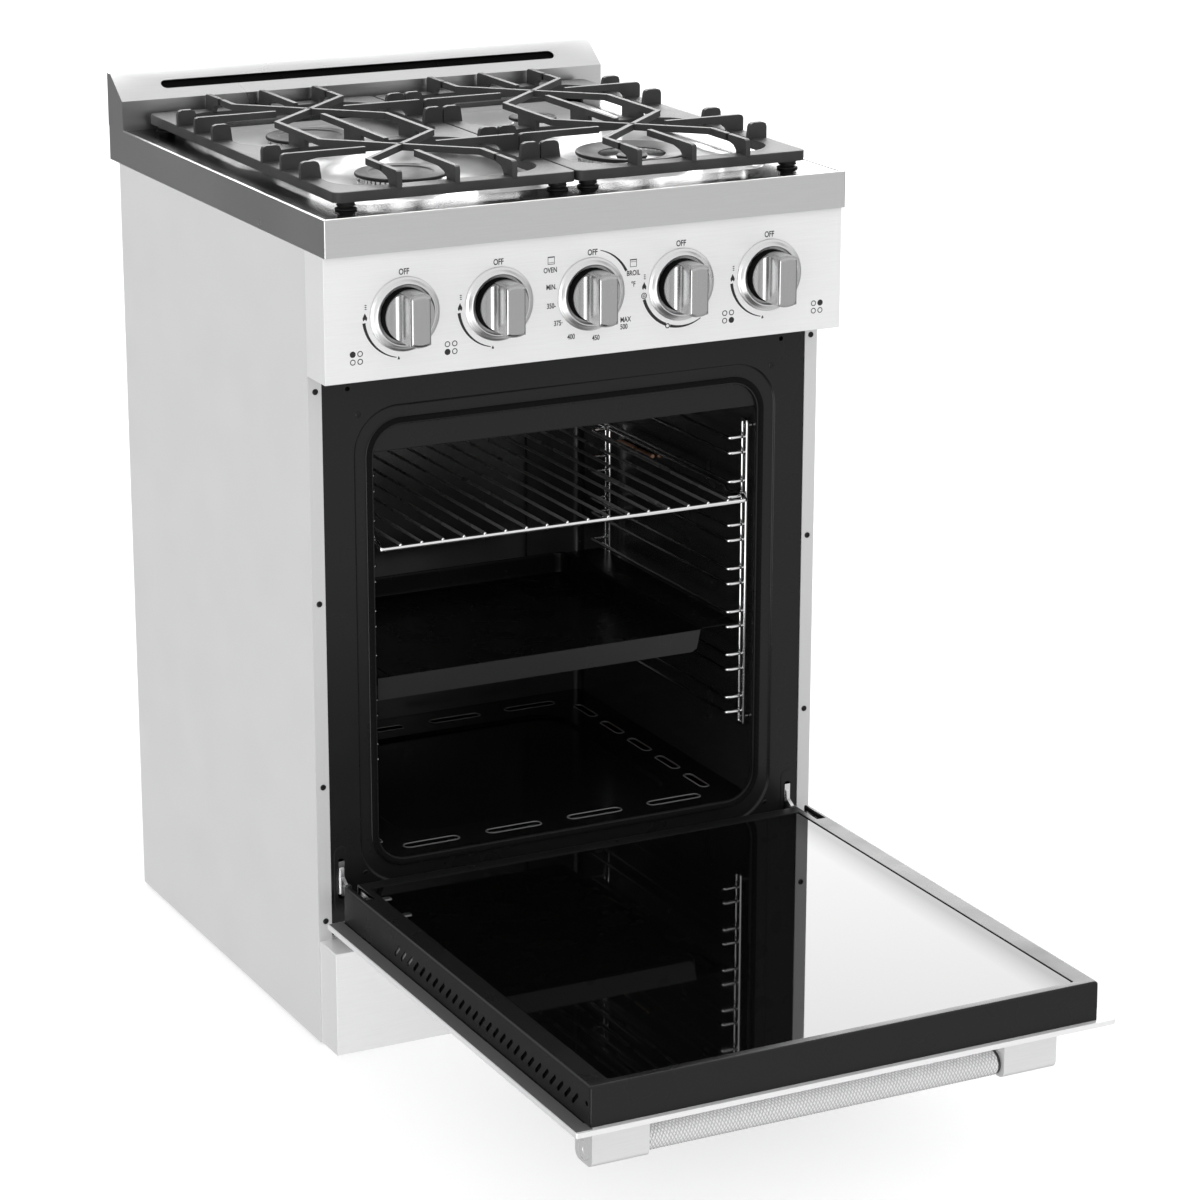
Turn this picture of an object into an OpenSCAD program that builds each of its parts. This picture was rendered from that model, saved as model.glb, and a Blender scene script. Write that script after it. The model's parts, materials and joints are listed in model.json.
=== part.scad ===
// Freestanding 24 inch gas range: four burner cooktop over a single oven.
// Millimetres, +Z up, +X to the right, the front faces -Y.
// Inside the modules Y is counted from the cooktop's front face, and placed()
// moves each sub-part so that the origin is under the middle of the plan.
// At rest the oven door is fully open, lying level in front of the range.

/* [Overall] */
// Width of the cooktop trim
range_w = 605; // [596:1:620]
// Depth of the cooktop trim, front to back
cooktop_d = 623; // [615:1:640]
// Height of the cooktop's top edge above the floor
cooktop_h = 914; // [900:1:930]
// Height of the brushed cooktop skirt
skirt_h = 39.5; // [36:0.5:44]
// Height of the backguard above the cooktop's top edge
backguard_h = 59; // [50:1:90]
// Thickness of the steel sheet
sheet = 1.2; // [0.8:0.1:1.5]

/* [Front] */
// Distance from the cooktop's front face back to the oven front frame
frame_y = 54; // [54:0.5:56]
// Height of the control panel's lower edge
panel_z = 742; // [741:1:746]
// Distance between neighbouring control knobs
knob_pitch = 106.5; // [100:0.5:112]
// Height of the knob axes
knob_z = 808.5; // [804:0.5:814]
// How far a knob can be pushed in
knob_travel = 2.5; // [1:0.5:2.5]
// Height of the kick panel
kick_h = 120; // [100:1:124]

/* [Door] */
// Height of the door, from edge to edge
door_len = 590; // [580:1:591]
// Distance from the cooktop's front face back to the door's hinge axis
hinge_y = 19; // [18.5:0.1:19.3]
// Height of the door's hinge axis
hinge_z = 157; // [156:0.5:158]
// Width of the door's black inner frame
inner_frame_w = 569; // [560:1:570]
// Diameter of the handle bar
handle_d = 26; // [22:1:28]
// Length of one handle end block
handle_end_w = 62; // [50:1:70]

/* [Oven] */
// Half width of the oven cavity
cavity_hw = 235; // [232:1:236]
// Inside depth of the oven cavity
cavity_d = 442; // [430:1:450]
// Height of the slotted oven floor above the range's floor
oven_floor_z = 196; // [192:1:197]
// Number of rack levels
rack_levels = 7; // [5:1:7]
// Level that the wire rack rests on, counted from the bottom
rack_level = 6; // [6:1:7]
// Level that the roasting tray rests on, counted from the bottom
tray_level = 3; // [2:1:4]
// How far the rack and the tray slide out
rack_travel = 300; // [200:10:320]

/* [Cooktop] */
// Front to back distance between the burners
burner_pitch = 246; // [240:1:250]
// Width of one cast iron grate
grate_w = 274; // [270:1:274]
// Depth of one cast iron grate
grate_d = 532; // [526:1:536]
// Height of the grate bars' top above the cooktop's top edge
grate_h = 36; // [34:1:40]

/* [Hidden] */
$fn = 48;
plan_shift = (door_len - 28 - cooktop_d) / 2;
half_w = range_w / 2;
side_x = half_w - 0.3;                    // outer face of the side panels
flange_x = side_x - 15.6;                 // inner edge of the white front flanges
panel_front = 6;                          // front face of the control panel
back_y = 594;                             // rear edge of the side panels
skirt_z = cooktop_h - skirt_h;            // lower edge of the cooktop skirt
pan_z = cooktop_h - 1;                    // border of the polished pan inside the trim
well_z = pan_z - 4;                       // the pan's pressed well, round the burners
backguard_y = cooktop_d - 46.5;           // vertical front face of the backguard
grate_x = grate_w / 2 + 0.75;             // middle of a grate
grate_y = 302;                            // middle of both grates
burner_y = [grate_y - burner_pitch / 2, grate_y + burner_pitch / 2];
bar_top = cooktop_h + grate_h;
rim_top = bar_top - 17;
rim_t = 11;
bar_t = 7;
bar_w = 5.5;
bar_half = 65;                            // half width of the crossing bars' pattern
web_l = 44;

opening_hw = 228.5;                       // oven mouth
opening_z = [198, 679];
ring_w = 22;                              // pressed step around the mouth
liner_z = [150, 690];
cavity_y = frame_y + 3.6;
cavity_back = cavity_y + cavity_d;
rung_d = 4;
rung_pitch = 50;
rung_z0 = 295.4;
rung_gap = 17.5;
rung_y = [72, 412];
ladder_x = 226;
rung_x = 206;
rack_z = rung_z0 + (rack_level - 1) * rung_pitch + rung_d / 2 + 0.3;
tray_z = rung_z0 + (tray_level - 1) * rung_pitch + rung_d / 2 + 0.3;

door_edge_y = 28;                         // hinge side edge of the open door's skin
door_far_y = door_edge_y - door_len;
skin_z = [143, 149];                      // outer and inner face of the open door's skin
box_z = 190.5;                            // inner face of the open door
box_y = [door_far_y + 6, 24];
glass_hw = 261;
glass_y = [door_far_y + 17, 6];
arm_x = 274;
handle_y = -499;
handle_z = 98;
window_hw = 195;
window_y = [-394, -124];

knob_x = [for (k = [-2:2]) k * knob_pitch];
spindle_r = 4;
running_fit = 0.05;
screw_z = [725, 497, 294, 142];
foot_at = [for (x = [-262, 262], y = [84, 556]) [x, y]];
inlet_x = -276;
inlet_z = knob_z;
inlet_r = 10.65;
manifold_y = 56;
socket_r = 5;                             // valve tails in the manifold
gland_x = 230;
gland_z = 120;

// ---------------------------------------------------------------- helpers

module placed() {
    translate([0, plan_shift, 0]) children();
}

// Box given by its lowest and highest corners.
module box(a, b) {
    translate(a) cube(b - a);
}

// The same shape on the left and on the right.
module both_sides() {
    children();
    mirror([1, 0, 0]) children();
}

// Rectangle with rounded corners, centred.
module rounded_rect(w, h, r) {
    square([w - 2 * r, h], center = true);
    square([w, h - 2 * r], center = true);
    for (x = [-1, 1], y = [-1, 1])
        translate([x * (w / 2 - r), y * (h / 2 - r)]) circle(r);
}

// Slot with round ends, of total length l, along X.
module slot(l, w) {
    square([l - w, w], center = true);
    for (x = [-1, 1]) translate([x * (l - w) / 2, 0]) circle(w / 2);
}

// Extrude an X-Z drawing from y to y + t.
module upright(y, t) {
    translate([0, y + t, 0]) rotate([90, 0, 0]) linear_extrude(t) children();
}

// Extrude a Y-Z drawing from x to x + t.
module sideways(x, t) {
    translate([x, 0, 0]) rotate([90, 0, 90]) linear_extrude(t) children();
}

// Round rod from p to q.
module rod(p, q, d) {
    v = q - p;
    l = norm(v);
    translate(p) rotate([0, acos(v[2] / l), atan2(v[1], v[0])]) cylinder(d = d, h = l);
}

// Rods through a list of points, with ball joints at the bends.
module bent_rod(points, d) {
    for (i = [0:len(points) - 2]) rod(points[i], points[i + 1], d);
    for (i = [1:1:len(points) - 2]) translate(points[i]) sphere(d = d, $fn = 24);
}

// Cylinder along +Y from y0 to y1.
module cyl_y(x, z, r, y0, y1) {
    translate([x, y0, z]) rotate([-90, 0, 0]) cylinder(r = r, h = y1 - y0);
}

// Cylinder along +X from x0 to x1.
module cyl_x(y, z, r, x0, x1) {
    translate([x0, y, z]) rotate([0, 90, 0]) cylinder(r = r, h = x1 - x0);
}

// ---------------------------------------------------------------- body panels

// Right hand side panel; the left one is its mirror image.
module side_panel() {
    top = skirt_z - 0.3;
    difference() {
        union() {
            box([side_x - sheet, frame_y, 3], [side_x, back_y, top]);
            box([flange_x, frame_y - sheet, 3], [side_x, frame_y, top]);
            box([side_x - 20, back_y - sheet, 3], [side_x, back_y, top]);
        }
        for (z = screw_z) cyl_y(flange_x + 7, z, 2, frame_y - 5, frame_y + 5);
        cyl_y(-inlet_x, inlet_z, inlet_r + 2, back_y - 10, back_y + 10);
    }
}
module side_panel_left() {
    color([0.84, 0.84, 0.84]) placed() mirror([1, 0, 0]) side_panel();
}
module side_panel_right() {
    color([0.84, 0.84, 0.84]) placed() side_panel();
}

module back_panel() {
    color([0.62, 0.63, 0.64]) placed() difference() {
        box([-side_x + 20, back_y - 2 * sheet, 32], [side_x - 20, back_y - sheet, skirt_z - 0.3]);
        cyl_y(inlet_x, inlet_z, inlet_r + 2, back_y - 10, back_y + 10);
        cyl_y(gland_x, gland_z, 9, back_y - 10, back_y + 10);
        for (row = [0:5], side = [-1, 1])
            upright(back_y - 5, 10) translate([side * 150, 640 + 26 * row]) slot(160, 8);
        for (row = [0:3])
            upright(back_y - 5, 10) translate([0, 60 + 22 * row]) slot(180, 8);
    }
}

module base_pan() {
    z0 = 20;
    color([0.55, 0.56, 0.57]) placed() difference() {
        box([-side_x + sheet, frame_y + 3, z0], [side_x - sheet, back_y - 2 * sheet, z0 + 14]);
        box([-side_x + 2 * sheet, frame_y + 3 + sheet, z0 + sheet],
            [side_x - 2 * sheet, back_y - 3 * sheet, z0 + 15]);
        for (p = foot_at) translate([p[0], p[1], z0 - 1]) cylinder(r = 5.2, h = 5);
    }
}

// Threaded levelling feet, wound right in: pad, stem and lock nut.
module levelling_feet() {
    color([0.16, 0.16, 0.17]) placed() for (p = foot_at) translate([p[0], p[1], 0]) {
        cylinder(r1 = 17, r2 = 19, h = 3);
        translate([0, 0, 3]) cylinder(r = 19, h = 6);
        cylinder(r = 5, h = 44);
        translate([0, 0, 12.4]) cylinder(r = 9, h = 7.4, $fn = 6);
        translate([0, 0, 21.4]) cylinder(r = 9, h = 6, $fn = 6);
    }
}

module kick_panel() {
    w = half_w - 1.8;
    front = panel_front + 4.6;
    color([0.86, 0.86, 0.86]) placed() {
        box([-w, front, 3], [w, front + sheet, kick_h]);
        box([-w, front, kick_h - sheet], [w, frame_y - sheet, kick_h]);
        both_sides() box([w - sheet, front, 3], [w, frame_y - sheet, kick_h]);
    }
}

module control_panel() {
    top = skirt_z - 0.3;
    color([0.92, 0.92, 0.92]) placed() difference() {
        union() {
            box([-side_x, panel_front, panel_z], [side_x, panel_front + sheet, top]);
            box([-side_x, panel_front, panel_z], [side_x, frame_y - sheet - 0.2, panel_z + sheet]);
            both_sides()
                box([side_x - sheet, panel_front, panel_z], [side_x, frame_y - sheet - 0.2, top]);
        }
        for (x = knob_x) cyl_y(x, knob_z, 9, 0, 20);
    }
}

// Fixed rings round the knobs, with a dished, sloping face.
module knob_bezels() {
    color([0.78, 0.78, 0.78]) placed() for (x = knob_x)
        translate([x, panel_front, knob_z]) rotate([90, 0, 0]) rotate_extrude()
            polygon([[31, 0], [39, 0], [39, 2], [36.5, 3.2], [33, 7], [31, 7]]);
}

// Heads of the screws in the white flanges and round the oven mouth.
module front_screws() {
    color([0.35, 0.35, 0.36]) placed() both_sides() {
        for (z = screw_z) {
            cyl_y(flange_x + 7, z, 3.2, frame_y - sheet - 1.4, frame_y - sheet);
            cyl_y(flange_x + 7, z, 1.9, frame_y - sheet, frame_y + 6);
        }
        for (z = [189, 695.5]) cyl_y(245.5, z, 3.4, frame_y - 0.8, frame_y);
    }
}

// ---------------------------------------------------------------- oven

// Black enamelled front frame with a pressed step round the mouth.
module oven_front_frame() {
    top = panel_z + 8;
    low = kick_h + 4;
    mid = (opening_z[0] + opening_z[1]) / 2;
    mouth = opening_z[1] - opening_z[0];
    outer_w = 2 * (opening_hw + ring_w);
    outer_h = mouth + 2 * ring_w + 4;
    step = cavity_y - frame_y;
    color([0.16, 0.16, 0.16]) placed() difference() {
        union() {
            box([-flange_x, frame_y, low], [flange_x, frame_y + sheet, top]);
            upright(frame_y, step) translate([0, mid - 2])
                rounded_rect(outer_w + 2 * sheet, outer_h + 2 * sheet, 51);
        }
        upright(frame_y - 1, step - sheet + 1)
            translate([0, mid - 2]) rounded_rect(outer_w, outer_h, 50);
        upright(frame_y - 1, step + 2) translate([0, mid]) rounded_rect(2 * opening_hw, mouth, 32);
        for (x = [-1, 1]) {
            box([x * arm_x - 5.5, frame_y - 1, 162], [x * arm_x + 5.5, frame_y + 5, 212]);
            cyl_y(x * 257, 724, 2.6, frame_y - 1, frame_y + 5);
        }
    }
}

// Rope gasket in the step round the mouth.
module oven_gasket() {
    mid = (opening_z[0] + opening_z[1]) / 2;
    mouth = opening_z[1] - opening_z[0];
    color([0.1, 0.1, 0.1]) placed() difference() {
        upright(frame_y - 0.9, 3.3) translate([0, mid])
            rounded_rect(2 * opening_hw + 12, mouth + 12, 38);
        upright(frame_y - 2, 6) translate([0, mid]) rounded_rect(2 * opening_hw + 3, mouth + 3, 33.5);
    }
}

module oven_liner() {
    color([0.07, 0.07, 0.075]) placed() difference() {
        box([-cavity_hw - sheet, cavity_y, liner_z[0] - sheet],
            [cavity_hw + sheet, cavity_back + sheet, liner_z[1] + sheet]);
        box([-cavity_hw, cavity_y - 1, liner_z[0]], [cavity_hw, cavity_back, liner_z[1]]);
        box([-90, cavity_back - 20, liner_z[1] - 1], [90, cavity_back - 8, liner_z[1] + 5]);
    }
}

// Mineral wool blanket round the liner, open at the front.
module oven_insulation() {
    t = 24;
    gap = 0.3;
    color([0.75, 0.72, 0.6]) placed() difference() {
        box([-cavity_hw - sheet - t, cavity_y + 2, liner_z[0] - sheet - t],
            [cavity_hw + sheet + t, cavity_back + sheet + t, liner_z[1] + sheet + t]);
        box([-cavity_hw - sheet - gap, cavity_y, liner_z[0] - sheet - gap],
            [cavity_hw + sheet + gap, cavity_back + sheet + gap, liner_z[1] + sheet + gap]);
        box([-96, cavity_back - 26, liner_z[1]], [96, cavity_back + 60, liner_z[1] + 60]);
    }
}

// Heat shield hanging across the top of the mouth.
module oven_header() {
    color([0.2, 0.2, 0.2]) placed() {
        box([-cavity_hw + 1, cavity_y + 1, 651], [cavity_hw - 1, cavity_y + 1 + sheet, liner_z[1]]);
        box([-cavity_hw + 1, cavity_y + 1, 651], [cavity_hw - 1, cavity_y + 14, 651 + sheet]);
    }
}

// False floor: a slotted ledge round a shallow well.
module oven_floor() {
    z = oven_floor_z;
    mid_y = (cavity_y + cavity_back) / 2;
    well = [330, 300];
    color([0.08, 0.08, 0.085]) placed() difference() {
        union() {
            box([-cavity_hw + 1, cavity_y + 1, z - sheet], [cavity_hw - 1, cavity_back - 1, z]);
            translate([0, mid_y, z - 5]) linear_extrude(5) rounded_rect(well[0] + 2, well[1] + 2, 36);
            both_sides() box([cavity_hw - 3, cavity_y + 1, liner_z[0]], [cavity_hw - 1, cavity_back - 1, z]);
        }
        translate([0, mid_y, z - 5 + sheet]) linear_extrude(10) rounded_rect(well[0], well[1], 35);
        for (x = [-150, -50, 50, 150], y = [mid_y - 185, mid_y + 185])
            translate([x, y, z - 9]) linear_extrude(12) slot(64, 11);
        for (x = [-1, 1], k = [-2:2])
            translate([x * 203, mid_y + 70 * k, z - 9]) linear_extrude(12) rotate(90) slot(46, 9);
    }
}

// Tube burner under the floor and the grill burner under the roof.
module oven_burners() {
    mid_y = (cavity_y + cavity_back) / 2;
    color([0.3, 0.3, 0.3]) placed() {
        for (x = [-1, 1]) rod([x * 90, mid_y - 130, 172], [x * 90, mid_y + 130, 172], 22);
        for (y = [-130, 130]) rod([-90, mid_y + y, 172], [90, mid_y + y, 172], 22);
        for (x = [-90, 90], y = [-130, 130]) {
            translate([x, mid_y + y, 172]) sphere(d = 22);
            translate([x, mid_y + y, liner_z[0]]) cylinder(r = 4, h = 16);
        }
        difference() {
            box([-110, mid_y - 120, 664], [110, mid_y + 120, 680]);
            for (x = [-90:15:90])
                box([x - 2.5, mid_y - 105, 663], [x + 2.5, mid_y + 105, 676]);
        }
        for (x = [-90, 90], y = [-100, 100])
            translate([x, mid_y + y, 679]) cylinder(r = 4, h = liner_z[1] - 679);
    }
}

// Chrome wire ladder for one side: two pairs of uprights and the rungs between them.
module rack_ladder(front) {
    rear = rung_y[1];
    pair = 10;
    weld = rung_d * 0.85;
    past = 1.3;
    x = ladder_x + past;
    z_low = rung_z0 - 15;
    z_high = rung_z0 + (rack_levels - 1) * rung_pitch + rung_gap + 21;
    for (y = [front, rear - pair])
        bent_rod([[ladder_x, y, z_high], [ladder_x, y, z_low], [ladder_x, y + pair, z_low],
            [ladder_x, y + pair, z_high]], rung_d);
    for (k = [0:rack_levels - 1], up = [0, rung_gap]) {
        z = rung_z0 + k * rung_pitch + up;
        bent_rod([[x, front + weld, z], [rung_x, front + weld, z],
            [rung_x, rear - weld, z], [x, rear - weld, z]], rung_d);
    }
    for (y = [front, rear], z = [z_low + 7, z_high - 7])
        rod([ladder_x - past, y, z], [cavity_hw, y, z], rung_d * 0.9);
}
module rack_ladders() {
    color([0.82, 0.82, 0.84]) placed() {
        rack_ladder(rung_y[0]);
        mirror([1, 0, 0]) rack_ladder(rung_y[0] + 30);
    }
}

module thermostat_bulb() {
    z = 536;
    color([0.8, 0.7, 0.5]) placed() {
        cyl_y(cavity_hw - 4.5, z, 2.8, 300, 392);
        for (y = [312, 376]) box([cavity_hw - 8, y, z - 4], [cavity_hw, y + 3, z + 4]);
    }
}

// Sheet steel duct from the roof of the oven up into the backguard.
module flue_duct() {
    z0 = liner_z[1] + sheet;
    y0 = cavity_back - 24;
    y1 = back_y - 2 * sheet - 1;
    color([0.6, 0.6, 0.6]) placed() {
        difference() {
            box([-94, y0, z0], [94, y1, z0 + 22]);
            box([-93, y0 + 1, z0 - 1], [93, y1 - 1, z0 + 21]);
            box([-93, y1 - 11, z0 + 15], [93, y1 - 1, z0 + 30]);
        }
        difference() {
            box([-94, y1 - 12, z0 + 22], [94, y1, cooktop_h + 16]);
            box([-93, y1 - 11, z0 + 15], [93, y1 - 1, cooktop_h + 20]);
        }
    }
}

// Plates on the front frame and the sockets behind them that hold the hinge arms.
module hinge_receivers() {
    color([0.13, 0.13, 0.13]) placed() both_sides() difference() {
        union() {
            upright(frame_y - 0.6, 0.6) translate([arm_x, 187]) rotate(90) slot(73.5, 17);
            box([arm_x - 5.5, frame_y, 162], [arm_x + 5.5, frame_y + 34, 212]);
        }
        box([arm_x - 4, frame_y - 2, 164], [arm_x + 4, frame_y + 32, 210]);
    }
}

// Hinge arms: they hang in the receivers and carry the door's pins.
module hinge_arms() {
    y1 = frame_y + 30;
    color([0.78, 0.79, 0.8]) placed() both_sides() difference() {
        union() {
            sideways(arm_x - 2, 4) polygon([[y1, 172], [y1, 204], [frame_y + 4, 204],
                [frame_y - 2, 197], [34, 184], [hinge_y + 4, 170], [hinge_y - 5.2, hinge_z + 4],
                [hinge_y + 4, hinge_z - 5], [40, 167], [frame_y, 169]]);
            cyl_x(hinge_y, hinge_z, 6.4, arm_x - 2, arm_x + 2);
            box([arm_x - 2, frame_y + 8, 164], [arm_x + 2, frame_y + 16, 210]);
        }
        cyl_x(hinge_y, hinge_z, 3 + running_fit, arm_x - 5, arm_x + 5);
    }
}

// ---------------------------------------------------------------- gas and electrics

// Manifold behind the control panel, its feed pipe and the threaded inlet at the back.
module gas_manifold() {
    r = 9;
    color([0.7, 0.7, 0.68]) placed() difference() {
        union() {
            rod([inlet_x, manifold_y, inlet_z], [240, manifold_y, inlet_z], 2 * r);
            translate([inlet_x, manifold_y, inlet_z]) sphere(r);
            cyl_y(inlet_x, inlet_z, r, manifold_y, back_y - 8);
            cyl_y(inlet_x, inlet_z, inlet_r, back_y - 8, cooktop_d - 3);
            cyl_y(inlet_x, inlet_z, 14, back_y - 20, back_y - 8);
        }
        for (x = knob_x) cyl_y(x, inlet_z, socket_r, manifold_y - 20, manifold_y - 4);
        cyl_y(inlet_x, inlet_z, 7, back_y, cooktop_d);
    }
}

module gas_valves() {
    color([0.75, 0.62, 0.35]) placed() for (x = knob_x) difference() {
        union() {
            box([x - 13, 20, knob_z - 14], [x + 13, manifold_y - 9.3, knob_z + 14]);
            cyl_y(x, knob_z, 8, panel_front + sheet + 0.4, 20);
            cyl_y(x, knob_z, socket_r, manifold_y - 12, manifold_y - 4);
        }
        cyl_y(x, knob_z, spindle_r + running_fit, 0, 34);
    }
}

// Tubes from the valves to the burners, each at a level of its own.
module burner_tubes() {
    feeds = [[0, -grate_x, burner_y[1]], [1, -grate_x, burner_y[0]],
             [3, grate_x, burner_y[0]], [4, grate_x, burner_y[1]]];
    color([0.72, 0.72, 0.74]) placed() for (i = [0:3]) {
        f = feeds[i];
        x = knob_x[f[0]];
        z = 836 + 11 * (i % 2);
        bent_rod([[x, 34, knob_z + 14], [x, 34, z], [x, f[2] - 60, z], [f[1], f[2] - 60, z],
            [f[1], f[2], z], [f[1], f[2], well_z - 24.1]], 7);
    }
}

module ignition_module() {
    color([0.85, 0.85, 0.82]) placed() {
        box([120, 560, 770], [200, back_y - 2 * sheet, 812]);
        for (k = [0:3]) translate([130 + 20 * k, 575, 812]) cylinder(r = 3, h = 8);
    }
}

// Strain relief bush where a mains lead enters.
module cord_gland() {
    color([0.12, 0.12, 0.12]) placed() difference() {
        union() {
            cyl_y(gland_x, gland_z, 8.8, back_y - 2 * sheet, back_y - sheet);
            cyl_y(gland_x, gland_z, 13, back_y - sheet, back_y + 5);
            cyl_y(gland_x, gland_z, 12, back_y - 9, back_y - 2 * sheet);
        }
        cyl_y(gland_x, gland_z, 4.5, back_y - 20, back_y + 20);
    }
}

// ---------------------------------------------------------------- cooktop

// Brushed skirt with a rolled top edge.
module cooktop_trim() {
    wall = 1.5;
    lip = 4;
    color([0.62, 0.62, 0.62]) placed() difference() {
        box([-half_w, 0, skirt_z], [half_w, cooktop_d, cooktop_h]);
        box([-half_w + wall, wall, skirt_z - 1], [half_w - wall, cooktop_d - wall, pan_z - sheet]);
        box([-half_w + lip, lip, skirt_z], [half_w - lip, cooktop_d - lip, cooktop_h + 1]);
        box([-half_w - 1, backguard_y, pan_z], [half_w + 1, cooktop_d + 1, cooktop_h + 1]);
    }
}

// Pan with a flat border and a pressed well round the burners.
module cooktop_pan() {
    z0 = pan_z - sheet;
    floor_z = well_z - sheet;
    well = [490, 483];
    mid_y = 303.5;
    wall = 4;
    color([0.85, 0.85, 0.86]) placed() difference() {
        union() {
            box([-half_w + 4, 4, z0], [half_w - 4, backguard_y + 1, pan_z]);
            translate([0, mid_y, floor_z]) linear_extrude(z0 - floor_z + 0.4)
                rounded_rect(well[0] + wall, well[1] + wall, 30);
        }
        translate([0, mid_y, well_z]) linear_extrude(10) rounded_rect(well[0], well[1], 28);
        for (x = [-1, 1], y = burner_y)
            translate([x * grate_x, y, floor_z - 1]) cylinder(r = 27, h = 5);
        for (p = igniter_at) translate([p[0], p[1], floor_z - 1]) cylinder(r = 4, h = 5);
    }
}

// Hollow backguard with a vent slot along its sloping face.
module backguard() {
    t = sheet;
    y0 = backguard_y;
    y1 = cooktop_d;
    z0 = pan_z;
    z1 = cooktop_h + 32.5;
    z2 = cooktop_h + backguard_h;
    top_y = y1 - 10.6;
    tilt = atan2(z2 - z1, top_y - y0);
    mid = [(y0 + top_y) / 2, (z1 + z2) / 2];
    color([0.72, 0.72, 0.73]) placed() difference() {
        union() {
            difference() {
                sideways(-half_w, range_w)
                    polygon([[y0, z0], [y0, z1], [top_y, z2], [y1, z2], [y1, z0]]);
                sideways(-half_w + t, range_w - 2 * t)
                    polygon([[y0 + t, z0 - 1], [y0 + t, z1 - 0.7 * t], [top_y + 0.4 * t, z2 - t],
                        [y1 - t, z2 - t], [y1 - t, z0 - 1]]);
            }
            for (x = [-98, 98])
                sideways(x - 1, 2) polygon([[y0 + 14, z1 + 1], [top_y, z2 - t],
                    [top_y, z2 - 18], [y0 + 14, z1 - 10]]);
        }
        translate([0, mid[0], mid[1]]) rotate([tilt, 0, 0]) translate([0, 0, -t - 2])
            linear_extrude(2 * t + 3) difference() {
                slot(497, 13);
                for (x = [-98, 98]) square([2, 20], center = true);
            }
    }
}

// Radius of each burner's cap: front left, front right, rear left, rear right.
cap_r = [49.5, 61.8, 49.5, 27.5];
burner_at = [for (y = burner_y, x = [-grate_x, grate_x]) [x, y]];
igniter_at = [for (i = [0:3]) burner_at[i] + (cap_r[i] + 3) * [0.82, -0.57]];
cap_top = cooktop_h + 6.5;
inner_cap_z = cap_top - 8;

// Cast head: a cup under the pan, a seat ring on it and a wall of flame ports.
module burner_head(r) {
    seat = well_z + 0.2;
    rim = cap_top - 4;
    ports = round(r * 0.9);
    difference() {
        union() {
            translate([0, 0, seat]) cylinder(r = r - 3, h = 2.4);
            translate([0, 0, seat]) cylinder(r = r - 6, h = rim - seat);
            translate([0, 0, seat - 24]) cylinder(r = 22, h = 25);
        }
        translate([0, 0, seat - 20]) cylinder(r = 18, h = 18);
        translate([0, 0, seat - 25]) cylinder(r = 4, h = 10);
        translate([0, 0, seat - 4]) cylinder(r = 9, h = 20);
        translate([0, 0, seat + 1.6]) cylinder(r = r - 10, h = 20);
        for (k = [0:ports - 1])
            rotate(k * 360 / ports) translate([r - 12, -0.9, seat + 3]) cube([12, 1.8, 20]);
    }
    if (r > 60) translate([0, 0, seat + 1]) difference() {
        cylinder(r = 15, h = inner_cap_z - seat - 1.2);
        translate([0, 0, -1]) cylinder(r = 11, h = 20);
    }
}
module burner_heads() {
    color([0.8, 0.8, 0.8]) placed()
        for (i = [0:3]) translate([burner_at[i][0], burner_at[i][1], 0]) burner_head(cap_r[i]);
}

module igniters() {
    color([0.92, 0.9, 0.86]) placed() for (p = igniter_at) translate([p[0], p[1], 0]) {
        translate([0, 0, well_z - 16]) cylinder(r = 3, h = 19);
        translate([0, 0, well_z + 2]) cylinder(r = 1.2, h = 4);
    }
}

// Enamelled cap with a shallow dish in its top.
module plain_cap(r) {
    z0 = cap_top - 3.8;
    rotate_extrude() polygon([[0, z0], [r - 1, z0], [r, z0 + 1], [r, z0 + 2.6], [r - 1.2, cap_top],
        [r * 0.72, cap_top], [r * 0.7, cap_top - 1.4], [0, cap_top - 1.4]]);
}

// Large ring cap that slopes down to a round opening, with a small cap inside.
module ring_cap(r) {
    z0 = cap_top - 3.8;
    rotate_extrude() polygon([[37, z0], [r - 1, z0], [r, z0 + 1], [r, z0 + 3],
        [r - 1, cap_top + 0.6], [38, z0 + 1.4], [37, z0 + 1]]);
    translate([0, 0, inner_cap_z]) cylinder(r = 17, h = 4);
}
module at_burner(i) {
    color([0.33, 0.33, 0.33]) placed() translate([burner_at[i][0], burner_at[i][1], 0]) children();
}
module burner_cap_front_left() { at_burner(0) plain_cap(cap_r[0]); }
module burner_cap_front_right() { at_burner(1) ring_cap(cap_r[1]); }
module burner_cap_rear_left() { at_burner(2) plain_cap(cap_r[2]); }
module burner_cap_rear_right() { at_burner(3) plain_cap(cap_r[3]); }

// ---------------------------------------------------------------- grates

// Straight bar between two plan points, its top at the grate's top.
module grate_bar(p, q) {
    v = q - p;
    translate([p[0], p[1], bar_top - bar_t]) rotate(atan2(v[1], v[0]))
        translate([0, -bar_w / 2, 0]) cube([norm(v), bar_w, bar_t]);
}

// Upright rib standing on the rim, from a to b along Y.
module rib_y(x, a, b) {
    box([x - bar_w / 2, a, rim_top - 3], [x + bar_w / 2, b, bar_top]);
}

// Upright tab standing on the rim, from a to b along X.
module rib_x(y, a, b) {
    box([a, y - bar_w / 2, rim_top - 3], [b, y + bar_w / 2, bar_top]);
}

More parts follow.
